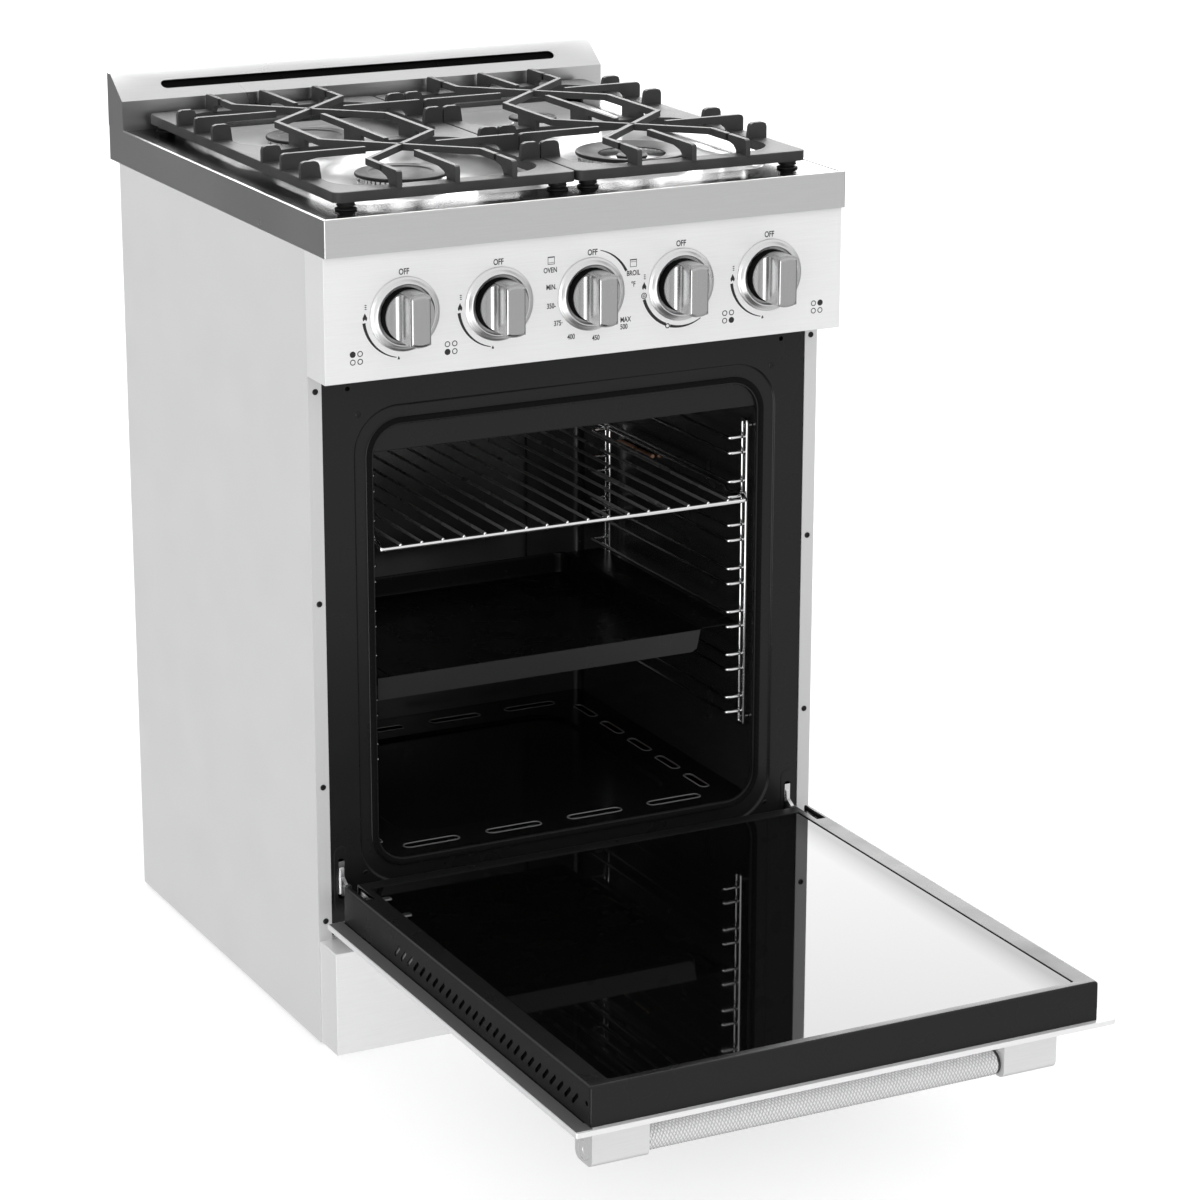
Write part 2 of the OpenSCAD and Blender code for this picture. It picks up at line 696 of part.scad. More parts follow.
// Everything on one burner's half of a grate; the rim's end is towards -Y.
module grate_half() {
    edge = grate_d / 2;
    c = burner_pitch / 2;
    for (s = [-1, 1]) {
        rib_y(s * bar_half, -edge, -edge + web_l);
        grate_bar([s * bar_half, -edge], [s * bar_half, -c - bar_half + 2]);
        grate_bar([s * bar_half, -c - bar_half], [-s * bar_half, -c + bar_half]);
        grate_bar([s * bar_half, -c + bar_half - 2], [s * bar_half, 0]);
        rib_x(-c, s * grate_w / 2 - (s > 0 ? 25 : 0), s * grate_w / 2 + (s > 0 ? 0 : 25));
        grate_bar([s * grate_w / 2, -c], [s * 41, -c]);
        for (y = [-c - 52, -c + 52])
            rib_x(y, s * grate_w / 2 - (s > 0 ? 23 : 0), s * grate_w / 2 + (s > 0 ? 0 : 23));
    }
    rib_y(0, -edge, -edge + web_l);
    grate_bar([0, -edge], [0, -c - 40]);
    grate_bar([0, -c + 37], [0, 0]);
}

module grate() {
    cell = [grate_w - 40, burner_pitch - 12];
    difference() {
        translate([0, 0, rim_top - rim_t]) linear_extrude(rim_t) difference() {
            rounded_rect(grate_w, grate_d, 9);
            for (s = [-1, 1]) translate([0, s * (burner_pitch / 2 + 4)])
                rounded_rect(cell[0], cell[1], 45);
        }
        for (x = [-1, 1], y = [-1, 1]) translate([x * (grate_w / 2 - 17), y * (grate_d / 2 - 12), 0])
            cylinder(r = 3, h = rim_top - 4);
    }
    grate_half();
    mirror([0, 1, 0]) grate_half();
    for (x = [-bar_half, 0, bar_half]) rib_y(x, -web_l / 2, web_l / 2);
}

module grate_feet() {
    low = pan_z + 0.1;
    for (x = [-1, 1], y = [-1, 1])
        translate([x * (grate_w / 2 - 17), y * (grate_d / 2 - 12), 0]) {
            translate([0, 0, low]) cylinder(r = 11.5, h = 3);
            translate([0, 0, low + 2.4]) cylinder(r = 8, h = 2.6);
            translate([0, 0, low + 4.5]) cylinder(r = 10, h = rim_top - rim_t - low - 4.5);
            translate([0, 0, low + 2.4]) cylinder(r = 3, h = rim_top - 5 - low - 2.4);
        }
}
module at_grate(side) {
    placed() translate([side * grate_x, grate_y, 0]) children();
}
module grate_left() { color([0.22, 0.22, 0.22]) at_grate(-1) grate(); }
module grate_right() { color([0.22, 0.22, 0.22]) at_grate(1) grate(); }
module grate_feet_left() { color([0.07, 0.07, 0.07]) at_grate(-1) grate_feet(); }
module grate_feet_right() { color([0.07, 0.07, 0.07]) at_grate(1) grate_feet(); }

// ---------------------------------------------------------------- knobs

// Valve spindle, turned by its knob.
module spindle(k) {
    color([0.8, 0.8, 0.8]) placed() cyl_y(knob_x[k - 1], knob_z, spindle_r, -20, 32);
}

// Knob: a round base with a broad bar left standing between two scooped sides.
module knob(k) {
    r = 29;
    rear = knob_travel + 0.8;
    face = 18;
    front = 43;
    bar_hw = 10.2;
    scoop = 9;
    color([0.72, 0.72, 0.72]) placed() translate([knob_x[k - 1], panel_front, knob_z])
        rotate([90, 0, 0]) difference() {
            union() {
                translate([0, 0, rear]) cylinder(r = r, h = front - rear - 2);
                translate([0, 0, front - 2]) cylinder(r1 = r, r2 = r - 2, h = 2);
            }
            for (s = [-1, 1]) {
                box([s > 0 ? bar_hw : -40, -40, face + scoop], [s > 0 ? 40 : -bar_hw, 40, front + 1]);
                box([s > 0 ? bar_hw + scoop : -40, -40, face],
                    [s > 0 ? 40 : -bar_hw - scoop, 40, front + 1]);
                translate([s * (bar_hw + scoop), 0, face + scoop]) rotate([90, 0, 0])
                    cylinder(r = scoop, h = 80, center = true);
            }
            translate([0, 0, rear - 1]) cylinder(r = spindle_r + running_fit, h = 30 - rear);
            translate([0, 0, rear - 1]) difference() {
                cylinder(r = r - 3, h = 9);
                cylinder(r = 10, h = 9);
            }
        }
}

// ---------------------------------------------------------------- rack and tray

// Wire rack: the side wires dip down to the front wire, under the cross wires.
module oven_rack() {
    hw = 219;
    y0 = 61;
    y1 = 424;
    frame_d = 5;
    wire_d = 3.4;
    dip = 6;
    z = rack_z + frame_d / 2;
    color([0.86, 0.86, 0.88]) placed() {
        bent_rod([[-hw, y1, z], [-hw, y0 + 9, z], [-hw, y0, z - dip], [hw, y0, z - dip],
            [hw, y0 + 9, z], [hw, y1, z], [-hw + 1, y1, z]], frame_d);
        for (k = [-8:8]) rod([k * 24.6, y0, z - 3], [k * 24.6, y1, z - 3], wire_d);
    }
}

// Roasting tray: a basin hung by two broad side flanges.
module roasting_tray() {
    z1 = tray_z + 1;
    depth = 26;
    flange_hw = 220;
    y0 = 72;
    y1 = 420;
    mid = [-14.5, (y0 + y1) / 2];
    size = [379, y1 - y0];
    color([0.2, 0.2, 0.2]) placed() difference() {
        union() {
            box([-flange_hw, y0 + 6, tray_z], [flange_hw, y1 - 6, z1]);
            box([-flange_hw, y0, z1 - depth + 2], [-flange_hw + 24, y0 + 6.5, z1]);
            translate([mid[0], mid[1], tray_z]) linear_extrude(1) rounded_rect(size[0] + 8, size[1], 16);
            translate([mid[0], mid[1], z1 - depth]) linear_extrude(depth)
                rounded_rect(size[0], size[1] - 4, 15);
        }
        translate([mid[0], mid[1], z1 - depth + 1]) linear_extrude(depth)
            rounded_rect(size[0] - 2, size[1] - 6, 14);
    }
}

// ---------------------------------------------------------------- door, drawn open

// Outer skin: a shallow tray with inward hems and a window opening.
module door_skin() {
    t = sheet;
    hem = 20;
    mid = (window_y[0] + window_y[1]) / 2;
    color([0.9, 0.9, 0.9]) placed() difference() {
        box([-half_w, door_far_y, skin_z[0]], [half_w, door_edge_y, skin_z[1]]);
        box([-half_w + t, door_far_y + t, skin_z[0] + t], [half_w - t, door_edge_y - t, skin_z[1] - t]);
        box([-half_w + hem, door_far_y + 10, skin_z[0] + 2 * t],
            [half_w - hem, door_edge_y - 8, skin_z[1] + 1]);
        translate([0, mid, skin_z[0] - 1]) linear_extrude(4)
            rounded_rect(2 * window_hw, window_y[1] - window_y[0], 18);
    }
}

module door_window() {
    z0 = skin_z[0] + sheet;
    mid = (window_y[0] + window_y[1]) / 2;
    color([0.05, 0.05, 0.06]) placed() translate([0, mid, z0]) linear_extrude(3)
        rounded_rect(2 * window_hw + 30, window_y[1] - window_y[0] + 30, 8);
}

// Black enamelled box behind the skin, with vents and hinge slots.
module door_inner_frame() {
    t = sheet;
    hw = inner_frame_w / 2;
    z0 = skin_z[1];
    y0 = box_y[0];
    y1 = box_y[1];
    ledge = box_z - 5;
    color([0.13, 0.13, 0.13]) placed() difference() {
        union() {
            difference() {
                box([-hw, y0, z0], [hw, y1, box_z]);
                box([-hw + t, y0 + t, z0 - 1], [hw - t, y1 - t, box_z - t]);
                box([-glass_hw, glass_y[0], z0], [glass_hw, glass_y[1], box_z + 1]);
            }
            difference() {
                box([-glass_hw - t, glass_y[0] - t, ledge - t], [glass_hw + t, glass_y[1] + t, box_z]);
                box([-glass_hw, glass_y[0], ledge], [glass_hw, glass_y[1], box_z + 1]);
                box([-glass_hw + 14, glass_y[0] + 14, ledge - 3],
                    [glass_hw - 14, glass_y[1] - 14, box_z + 1]);
            }
        }
        for (s = [-1, 1]) {
            box([s * arm_x - 5.5, -24, z0 - 1], [s * arm_x + 5.5, y1 + 1, box_z + 1]);
            for (k = [0:26])
                translate([s * hw, -68 - 16.2 * k, z0 + 21]) rotate([45, 0, 0])
                    cube([6, 3, 16], center = true);
            cyl_x(y0 + 8, z0 + 22, 2.4, s > 0 ? hw - 5 : -hw - 5, s > 0 ? hw + 5 : -hw + 5);
        }
    }
}

module door_inner_glass() {
    z0 = box_z - 5;
    color([0.02, 0.02, 0.02]) placed()
        box([-glass_hw + 0.4, glass_y[0] + 0.4, z0], [glass_hw - 0.4, glass_y[1] - 0.4, z0 + 4]);
}

// Steel channels inside the door that hold the hinge pins.
module door_hinge_channels() {
    z0 = skin_z[1];
    color([0.7, 0.7, 0.72]) placed() both_sides() difference() {
        box([arm_x - 10, -150, z0], [arm_x + 9, box_y[1] - 1.4, z0 + 34]);
        box([arm_x - 8, -151, z0 + 2], [arm_x + 7, box_y[1], z0 + 40]);
        box([arm_x - 8, 4, z0 - 1], [arm_x + 7, box_y[1], z0 + 40]);
        cyl_x(hinge_y, hinge_z, 3, arm_x - 20, arm_x + 20);
    }
}

module door_hinge_pins() {
    color([0.8, 0.8, 0.82]) placed() both_sides()
        cyl_x(hinge_y, hinge_z, 3, arm_x - 10, arm_x + 9);
}

// Closing spring cartridges in the channels.
module door_springs() {
    color([0.5, 0.5, 0.52]) placed() both_sides()
        rod([arm_x - 0.5, -140, skin_z[1] + 8], [arm_x - 0.5, -40, skin_z[1] + 8], 12);
}

module handle_bar() {
    l = 2 * (263 - handle_end_w);
    color([0.8, 0.8, 0.8]) placed() cyl_x(handle_y, handle_z, handle_d / 2, -l / 2, l / 2);
}

// Solid end blocks that stand the bar off from the door.
module handle_ends() {
    low = 85;
    hw = 18;
    r = 9;
    color([0.86, 0.86, 0.86]) placed() both_sides() difference() {
        sideways(263 - handle_end_w, handle_end_w) difference() {
            union() {
                translate([handle_y - hw, low + r]) square([2 * hw, skin_z[0] - low - r]);
                translate([handle_y - hw + r, low]) square([2 * hw - 2 * r, 20]);
                for (s = [-1, 1]) translate([handle_y + s * (hw - r), low + r]) circle(r);
            }
        }
        cyl_x(handle_y, handle_z, 10, 262, 270);
    }
}

side_panel_left();
side_panel_right();
back_panel();
base_pan();
levelling_feet();
kick_panel();
control_panel();
knob_bezels();
front_screws();
oven_front_frame();
oven_gasket();
oven_liner();
oven_insulation();
oven_header();
oven_floor();
oven_burners();
rack_ladders();
thermostat_bulb();
flue_duct();
hinge_receivers();
hinge_arms();
gas_manifold();
gas_valves();
burner_tubes();
ignition_module();
cord_gland();
cooktop_trim();
cooktop_pan();
backguard();
burner_heads();
igniters();
burner_cap_front_left();
burner_cap_front_right();
burner_cap_rear_left();
burner_cap_rear_right();
grate_left();
grate_right();
grate_feet_left();
grate_feet_right();
spindle(1);  // spindle_1
spindle(2);  // spindle_2
spindle(3);  // spindle_3
spindle(4);  // spindle_4
spindle(5);  // spindle_5
knob(1);  // knob_1
knob(2);  // knob_2
knob(3);  // knob_3
knob(4);  // knob_4
knob(5);  // knob_5
oven_rack();
roasting_tray();
door_skin();
door_window();
door_inner_frame();
door_inner_glass();
door_hinge_channels();
door_hinge_pins();
door_springs();
handle_bar();
handle_ends();
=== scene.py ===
"""Looks of the gas range: materials, lights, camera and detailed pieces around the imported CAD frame."""
import json
from math import asin, atan2, copysign, cos, pi, radians, sin, sqrt

import bmesh
import bpy
from mathutils import Matrix, Vector


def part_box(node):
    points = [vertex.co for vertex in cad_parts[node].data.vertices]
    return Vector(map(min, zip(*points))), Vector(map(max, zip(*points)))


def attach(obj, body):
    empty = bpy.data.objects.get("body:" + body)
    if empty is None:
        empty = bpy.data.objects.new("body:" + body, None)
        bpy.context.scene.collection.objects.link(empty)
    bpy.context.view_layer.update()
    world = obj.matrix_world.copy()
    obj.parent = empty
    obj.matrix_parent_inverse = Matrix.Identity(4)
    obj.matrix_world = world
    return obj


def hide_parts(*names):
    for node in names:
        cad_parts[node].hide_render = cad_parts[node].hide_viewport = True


MM = 0.001
SIDES = (-1, 1)

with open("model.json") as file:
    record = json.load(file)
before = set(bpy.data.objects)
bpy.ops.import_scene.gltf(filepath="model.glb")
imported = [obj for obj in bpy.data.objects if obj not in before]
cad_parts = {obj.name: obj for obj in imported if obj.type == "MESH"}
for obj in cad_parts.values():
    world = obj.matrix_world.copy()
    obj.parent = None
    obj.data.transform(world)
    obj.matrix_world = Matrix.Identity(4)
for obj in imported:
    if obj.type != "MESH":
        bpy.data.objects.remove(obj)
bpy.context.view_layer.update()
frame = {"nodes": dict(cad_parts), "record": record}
nodes = frame["nodes"]


def add(name, data):
    made = bpy.data.objects.new(name, data)
    bpy.context.scene.collection.objects.link(made)
    return made


# ---- camera

CAM_AT = (-1.77438, -3.5212, 1.66779)
CAM_YAW, CAM_PITCH, CAM_ROLL = (radians(a) for a in (-27.055, 16.928, 0.113))
CAM_LENS, CAM_SENSOR, CAM_REACH = 115.025, 36, 50


def make_camera():
    camera = add("camera", bpy.data.cameras.new("camera"))
    camera.data.lens = CAM_LENS
    camera.data.sensor_width = CAM_SENSOR
    camera.data.clip_end = CAM_REACH
    camera.matrix_world = (
        Matrix.Translation(CAM_AT)
        @ Matrix.Rotation(CAM_YAW, 4, "Z")
        @ Matrix.Rotation(pi / 2 - CAM_PITCH, 4, "X")
        @ Matrix.Rotation(CAM_ROLL, 4, "Z")
    )
    bpy.context.scene.camera = camera


# ---- node trees


def node(kind, values, output=0, **settings):
    """Adds a shader node to the tree that its inputs come from, and gives back one output."""
    tree = next(value for value in values.values() if isinstance(value, bpy.types.NodeSocket)).id_data
    made = tree.nodes.new("ShaderNode" + kind)
    for name, value in settings.items():
        setattr(made, name, value)
    for socket, value in values.items():
        if isinstance(value, bpy.types.NodeSocket):
            tree.links.new(value, made.inputs[socket])
        else:
            made.inputs[socket].default_value = value
    return made.outputs[output]


def calc(kind, *values):
    return node("Math", dict(enumerate(values)), operation=kind)


def ramp(value, start, end, low, high, shape="SMOOTHSTEP"):
    span = {"Value": value, "From Min": start, "From Max": end, "To Min": low, "To Max": high}
    return node("MapRange", span, "Result", interpolation_type=shape)


def axes(vector):
    return [node("SeparateXYZ", {0: vector}, axis) for axis in range(3)]


class Graph:
    """A material's node tree, with short calls for the patterns used below."""

    def __init__(self, name, colour, roughness, metallic=0.0, specular=0.5):
        self.material = bpy.data.materials.new(name)
        self.material.use_nodes = True
        self.tree = self.material.node_tree
        self.shader = self.tree.nodes["Principled BSDF"].inputs
        for socket, value in (("Base Color", (*colour, 1)), ("Roughness", roughness), ("Metallic", metallic),
                              ("Specular IOR Level", specular)):
            self.shader[socket].default_value = value
        self.place = self.tree.nodes.new("ShaderNodeTexCoord").outputs["Object"]

    def drive(self, socket, value):
        self.tree.links.new(value, self.shader[socket])

    def noise(self, scale, stretch=(1, 1, 1), detail=3.0):
        place = node("Mapping", {"Vector": self.place, "Scale": stretch}, "Vector")
        return node("TexNoise", {"Vector": place, "Scale": scale, "Detail": detail}, "Fac")

    def spread(self, value, low, high, start=0.3, end=0.7):
        return ramp(value, start, end, low, high, "LINEAR")

    def tint(self, value, dark, light):
        values = {0: value, 6: (*dark, 1), 7: (*light, 1)}
        self.drive("Base Color", node("Mix", values, 2, data_type="RGBA"))

    def rough(self, value):
        self.drive("Roughness", value)

    def bump(self, value, depth, strength):
        self.drive("Normal", node("Bump", {"Strength": strength, "Distance": depth, "Height": value}, "Normal"))


def grey(level):
    return (level, level, level * 1.005)


# ---- mesh helpers


def mm(*point):
    return Vector(c * MM for c in point)


def arc(cx, cy, r, start, end, steps=6):
    """Points on an arc, in degrees."""
    angles = (radians(start + (end - start) * i / steps) for i in range(steps + 1))
    return [(cx + r * cos(a), cy + r * sin(a)) for a in angles]


def rounded(shape, inset, r, steps=5):
    """A rounded rectangle, given by its middle and size, as a closed loop of 4 * (steps + 1) points."""
    cx, cy, w, h = shape
    w, h = w - 2 * inset, h - 2 * inset
    r = max(min(r, w / 2 - 1e-3, h / 2 - 1e-3), 1e-3)
    loop = []
    for k, (sx, sy) in enumerate(((1, 1), (-1, 1), (-1, -1), (1, -1))):
        loop += arc(cx + sx * (w / 2 - r), cy + sy * (h / 2 - r), r, 90 * k, 90 * k + 90, steps)
    return loop


def stadium(cx, cz, w, h, steps=8):
    r = w / 2
    return arc(cx, cz + h / 2 - r, r, 0, 180, steps) + arc(cx, cz - h / 2 + r, r, 180, 360, steps)


def grown(loop, cx, cz, by):
    """Moves a slot-shaped loop's points outwards."""
    out = []
    low, high = min(p[1] for p in loop), max(p[1] for p in loop)
    r = (max(p[0] for p in loop) - min(p[0] for p in loop)) / 2
    for x, z in loop:
        middle = high - r if z > cz else low + r
        away = Vector((x - cx, z - middle))
        away = away.normalized() * by if away.length else away
        out.append((x + away.x, z + away.y))
    return out


def flat(loop, z):
    return [(x, y, z) for x, y in loop]


def facing(loop, y):
    return [(x, y, z) for x, z in loop]


def stack(shape, rows, place=flat, steps=6):
    """Loops of one rounded rectangle. Each row has how far in it is, its corner radius and its height or depth."""
    return [place(rounded(shape, inset, r, steps), at) for inset, r, at in rows]


def skin(bm, a, b):
    """Faces between two rings of the same length."""
    for i in range(len(a)):
        j = (i + 1) % len(a)
        bm.faces.new((a[i], a[j], b[j], b[i]))


def sweep(bm, loops, close_first=False, close_last=False, joined=False):
    """Skins closed loops of the same length, one after the other."""
    rings = [[bm.verts.new(mm(*p)) for p in loop] for loop in loops]
    for a, b in list(zip(rings, rings[1:])) + ([(rings[-1], rings[0])] if joined else []):
        skin(bm, a, b)
    if close_first:
        bm.faces.new(rings[0])
    if close_last:
        bm.faces.new(reversed(rings[-1]))


def lathe(bm, profile, at, axis="Z", steps=64):
    """Turns (radius, height) points round an axis through a point."""
    turn = {"Z": Matrix.Identity(3), "-Y": Matrix.Rotation(pi / 2, 3, "X"),
            "Y": Matrix.Rotation(-pi / 2, 3, "X"), "X": Matrix.Rotation(pi / 2, 3, "Y")}[axis]
    angles = [2 * pi * i / steps for i in range(steps)]
    rings = [[bm.verts.new(mm(*(turn @ Vector((r * cos(a), r * sin(a), h)) + Vector(at))))
              for a in angles] for r, h in profile]
    for a, b in zip(rings, rings[1:]):
        skin(bm, a, b)
    bmesh.ops.remove_doubles(bm, verts=rings[0] + rings[-1], dist=1e-6)


def disc(bm, r, start, end, at, axis, steps):
    lathe(bm, [(0, start), (r, start), (r, end), (0, end)], at, axis, steps)


def prism(bm, outline, axis, start, end, bevel=0.0, segments=2):
    """Extrudes a 2D outline along an axis, and rounds its edges."""
    order = {"X": lambda a, b, t: (t, a, b), "Y": lambda a, b, t: (a, t, b), "Z": lambda a, b, t: (a, b, t)}[axis]
    ends = [[bm.verts.new(mm(*order(a, b, t))) for a, b in outline] for t in (start, end)]
    faces = [bm.faces.new(ends[0]), bm.faces.new(reversed(ends[1]))]
    for i in range(len(outline)):
        j = (i + 1) % len(outline)
        faces.append(bm.faces.new((ends[0][j], ends[0][i], ends[1][i], ends[1][j])))
    if bevel:
        sharp = {e for f in faces for e in f.edges if e.calc_face_angle(0) > radians(28)}
        bmesh.ops.bevel(bm, geom=list(sharp), offset=bevel * MM, segments=segments, profile=0.5, affect="EDGES")


def block(bm, lo, hi, bevel=0.0, segments=2):
    outline = [(lo[0], lo[1]), (hi[0], lo[1]), (hi[0], hi[1]), (lo[0], hi[1])]
    prism(bm, outline, "Z", lo[2], hi[2], bevel, segments)


def mesh_of(name, bm):
    mesh = bpy.data.meshes.new(name)
    bm.to_mesh(mesh)
    bm.free()
    return mesh


def place_on(made, body, stands_for):
    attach(made, body)
    if stands_for:
        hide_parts(stands_for)


MESH_PIECES = []


def piece(name, bm, finish, stands_for=None, body="chassis", smooth=40):
    """Makes the mesh an object that rides on a body. Its slot has the finish's name."""
    bmesh.ops.recalc_face_normals(bm, faces=bm.faces)
    mesh = mesh_of(name, bm)
    mesh.materials.append(FINISH[finish])
    mesh.shade_smooth()
    mesh.set_sharp_from_angle(angle=radians(smooth))
    made = add(name, mesh)
    place_on(made, body, stands_for)
    MESH_PIECES.append(made)
    return made


def as_modified(made):
    """A new mesh of an object as its modifiers leave it."""
    bpy.context.view_layer.update()
    return bpy.data.meshes.new_from_object(made.evaluated_get(bpy.context.evaluated_depsgraph_get()))


def bake_modifiers(made):
    result = as_modified(made)
    made.modifiers.clear()
    old, name = made.data, made.data.name
    made.data = result
    bpy.data.meshes.remove(old)
    result.name = name


def flatten_shading(made):
    """Lets the large faces set the normals, so that flat sheet reflects as flat."""
    tool = made.modifiers.new("normals", "WEIGHTED_NORMAL")
    tool.keep_sharp, tool.weight = True, 60
    bake_modifiers(made)


def cut(target, bm):
    """Takes a closed shape out of a piece."""
    bmesh.ops.recalc_face_normals(bm, faces=bm.faces)
    mesh = mesh_of("cutter", bm)
    cutter = add("cutter", mesh)
    cutter.matrix_world = target.matrix_world
    tool = target.modifiers.new("cut", "BOOLEAN")
    tool.operation, tool.solver, tool.object = "DIFFERENCE", "EXACT", cutter
    tool.use_self = True
    bake_modifiers(target)
    target.data.set_sharp_from_angle(angle=radians(40))
    bpy.data.objects.remove(cutter)
    bpy.data.meshes.remove(mesh)


def bend(points, radius, steps=5):
    """Rounds the inner corners of a 3D path."""
    path = [Vector(points[0])]
    for a, b, c in zip(points, points[1:], points[2:]):
        a, b, c = Vector(a), Vector(b), Vector(c)
        r = min(radius, (a - b).length / 2.1, (c - b).length / 2.1)
        p, q = b + (a - b).normalized() * r, b + (c - b).normalized() * r
        for i in range(steps + 1):
            t = i / steps
            path.append(p * (1 - t) ** 2 + b * 2 * t * (1 - t) + q * t * t)
    path.append(Vector(points[-1]))
    return path


def wires(name, paths, diameter, radius, finish, stands_for=None, body="chassis"):
    """Round wires with smooth bends, all in one curve object."""
    curve = bpy.data.curves.new(name, "CURVE")
    curve.dimensions = "3D"
    curve.bevel_depth = diameter / 2 * MM
    curve.bevel_resolution = 3
    curve.use_fill_caps = True
    curve.materials.append(FINISH[finish])
    for path in paths:
        points = bend(path, radius)
        spline = curve.splines.new("POLY")
        spline.points.add(len(points) - 1)
        for point, p in zip(spline.points, points):
            point.co = (*(p * MM), 1)
        spline.use_smooth = True
    place_on(add(name, curve), body, stands_for)


def box_mm(name):
    """A CAD node's low and high corner, then its middle and size seen from above and from the front."""
    lo, hi = (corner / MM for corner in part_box(name))
    (cx, cy, cz), (w, d, h) = zip(*(((a + b) / 2, b - a) for a, b in zip(lo, hi)))
    return lo, hi, (cx, cy, w, d), (cx, cz, w, h)


FRONT = box_mm("cooktop_trim")[0].y
FRAME_Y = box_mm("oven_front_frame")[0].y
HINGE_X = 274

# ---- finishes


def brushed(name, level, roughness, along, metallic=1.0):
    """Steel brushed along an axis: 0, 1 or 2."""
    g = Graph(name, grey(level), roughness, metallic)
    stretch = [1500, 1500, 1500]
    stretch[along] = 25
    grain = g.noise(1.0, stretch, 2.0)
    g.tint(g.spread(grain, 0, 1), grey(level * 0.975), grey(min(1.0, level * 1.02)))
    g.rough(g.spread(g.noise(5.0), roughness * 0.85, roughness * 1.15))
    g.bump(grain, 0.00001, 0.5)
    return g.material


def enamel(name, level, roughness, ripple=0.00004, specks=0.0, specular=0.5):
    """Vitreous enamel: glossy, with a faint orange peel."""
    g = Graph(name, grey(level), roughness, 0.0, specular)
    g.rough(g.spread(g.noise(18.0), roughness * 0.8, roughness * 1.25))
    if specks:
        g.tint(g.spread(g.noise(900.0), 0, 1, 0.68, 0.74), grey(level), grey(level + specks))
    g.bump(g.noise(260.0, detail=1.0), ripple, 0.6)
    return g.material


def rubber(name, level, roughness):
    g = Graph(name, grey(level), roughness)
    g.bump(g.noise(800.0), 0.00008, 0.5)
    return g.material


def plain_metal(name, colour, roughness):
    g = Graph(name, colour, roughness, 1.0)
    g.rough(g.spread(g.noise(60.0), roughness * 0.8, roughness * 1.3))
    return g.material


def glass(name):
    """Dark glass that reflects less in a band along its long right edge."""
    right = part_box("door_inner_glass")[1].x
    g = Graph(name, grey(0.002), 0.02, 0.0, 0.62)
    g.drive("Specular IOR Level", g.spread(axes(g.place)[0], 0.64, 0.24, right - 0.045, right - 0.010))
    g.rough(g.spread(g.noise(40.0), 0.015, 0.03))
    return g.material


def polished(name):
    # painted reflection: the pan is mostly a diffuse near-white, standing in for the white room its polished steel
    # mirrors, with only part of it metal
    g = Graph(name, grey(0.94), 0.16, 0.35)
    g.rough(g.spread(g.noise(9.0), 0.12, 0.22))
    g.bump(g.noise(14.0, detail=1.0), 0.0006, 0.35)
    return g.material


def iron(name):
    g = Graph(name, grey(0.045), 0.50, 0.0, 0.38)
    grain = g.noise(1400.0, detail=2.0)
    g.tint(g.spread(g.noise(30.0), 0, 1), grey(0.030), grey(0.046))
    g.rough(g.spread(grain, 0.42, 0.60))
    g.bump(grain, 0.00012, 0.7)
    return g.material


def rope(name):
    """Woven glass rope: slanted strands along the run."""
    g = Graph(name, grey(0.004), 0.85, 0.0, 0.1)
    wave = node("TexWave", {"Vector": g.place, "Scale": 90}, "Fac", wave_type="BANDS", bands_direction="DIAGONAL")
    g.bump(wave, 0.0005, 0.6)
    return g.material


def wool(name):
    g = Graph(name, (0.62, 0.55, 0.36), 0.95)
    g.tint(g.spread(g.noise(60.0, detail=6.0), 0, 1), (0.5, 0.43, 0.26), (0.74, 0.68, 0.50))
    g.bump(g.noise(220.0, detail=8.0), 0.004, 0.8)
    return g.material


def knurled(name):
    """Two sets of fine grooves that wind round the handle bar, with painted shade darkening the colour in the
    grooves.
    """
    middle = sum(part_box("handle_bar"), Vector()) / 2
    pitch, starts = 0.0076, 6
    g = Graph(name, grey(0.88), 0.26, 0.5)
    x, y, z = axes(g.place)
    turn = calc("ARCTAN2", calc("SUBTRACT", y, middle.y), calc("SUBTRACT", z, middle.z))
    ridges = []
    for hand in (1, -1):
        run = calc("ADD", calc("MULTIPLY", x, 2 * pi / pitch), calc("MULTIPLY", turn, hand * starts))
        ridges.append(calc("ABSOLUTE", calc("SINE", run)))
    height = calc("MINIMUM", *ridges)
    # painted shade: the colour is darker in the grooves and lighter on the ridges
    g.tint(g.spread(height, 0, 1, 0.0, 0.8), grey(0.56), grey(0.96))
    g.bump(height, 0.0008, 0.8)
    return g.material


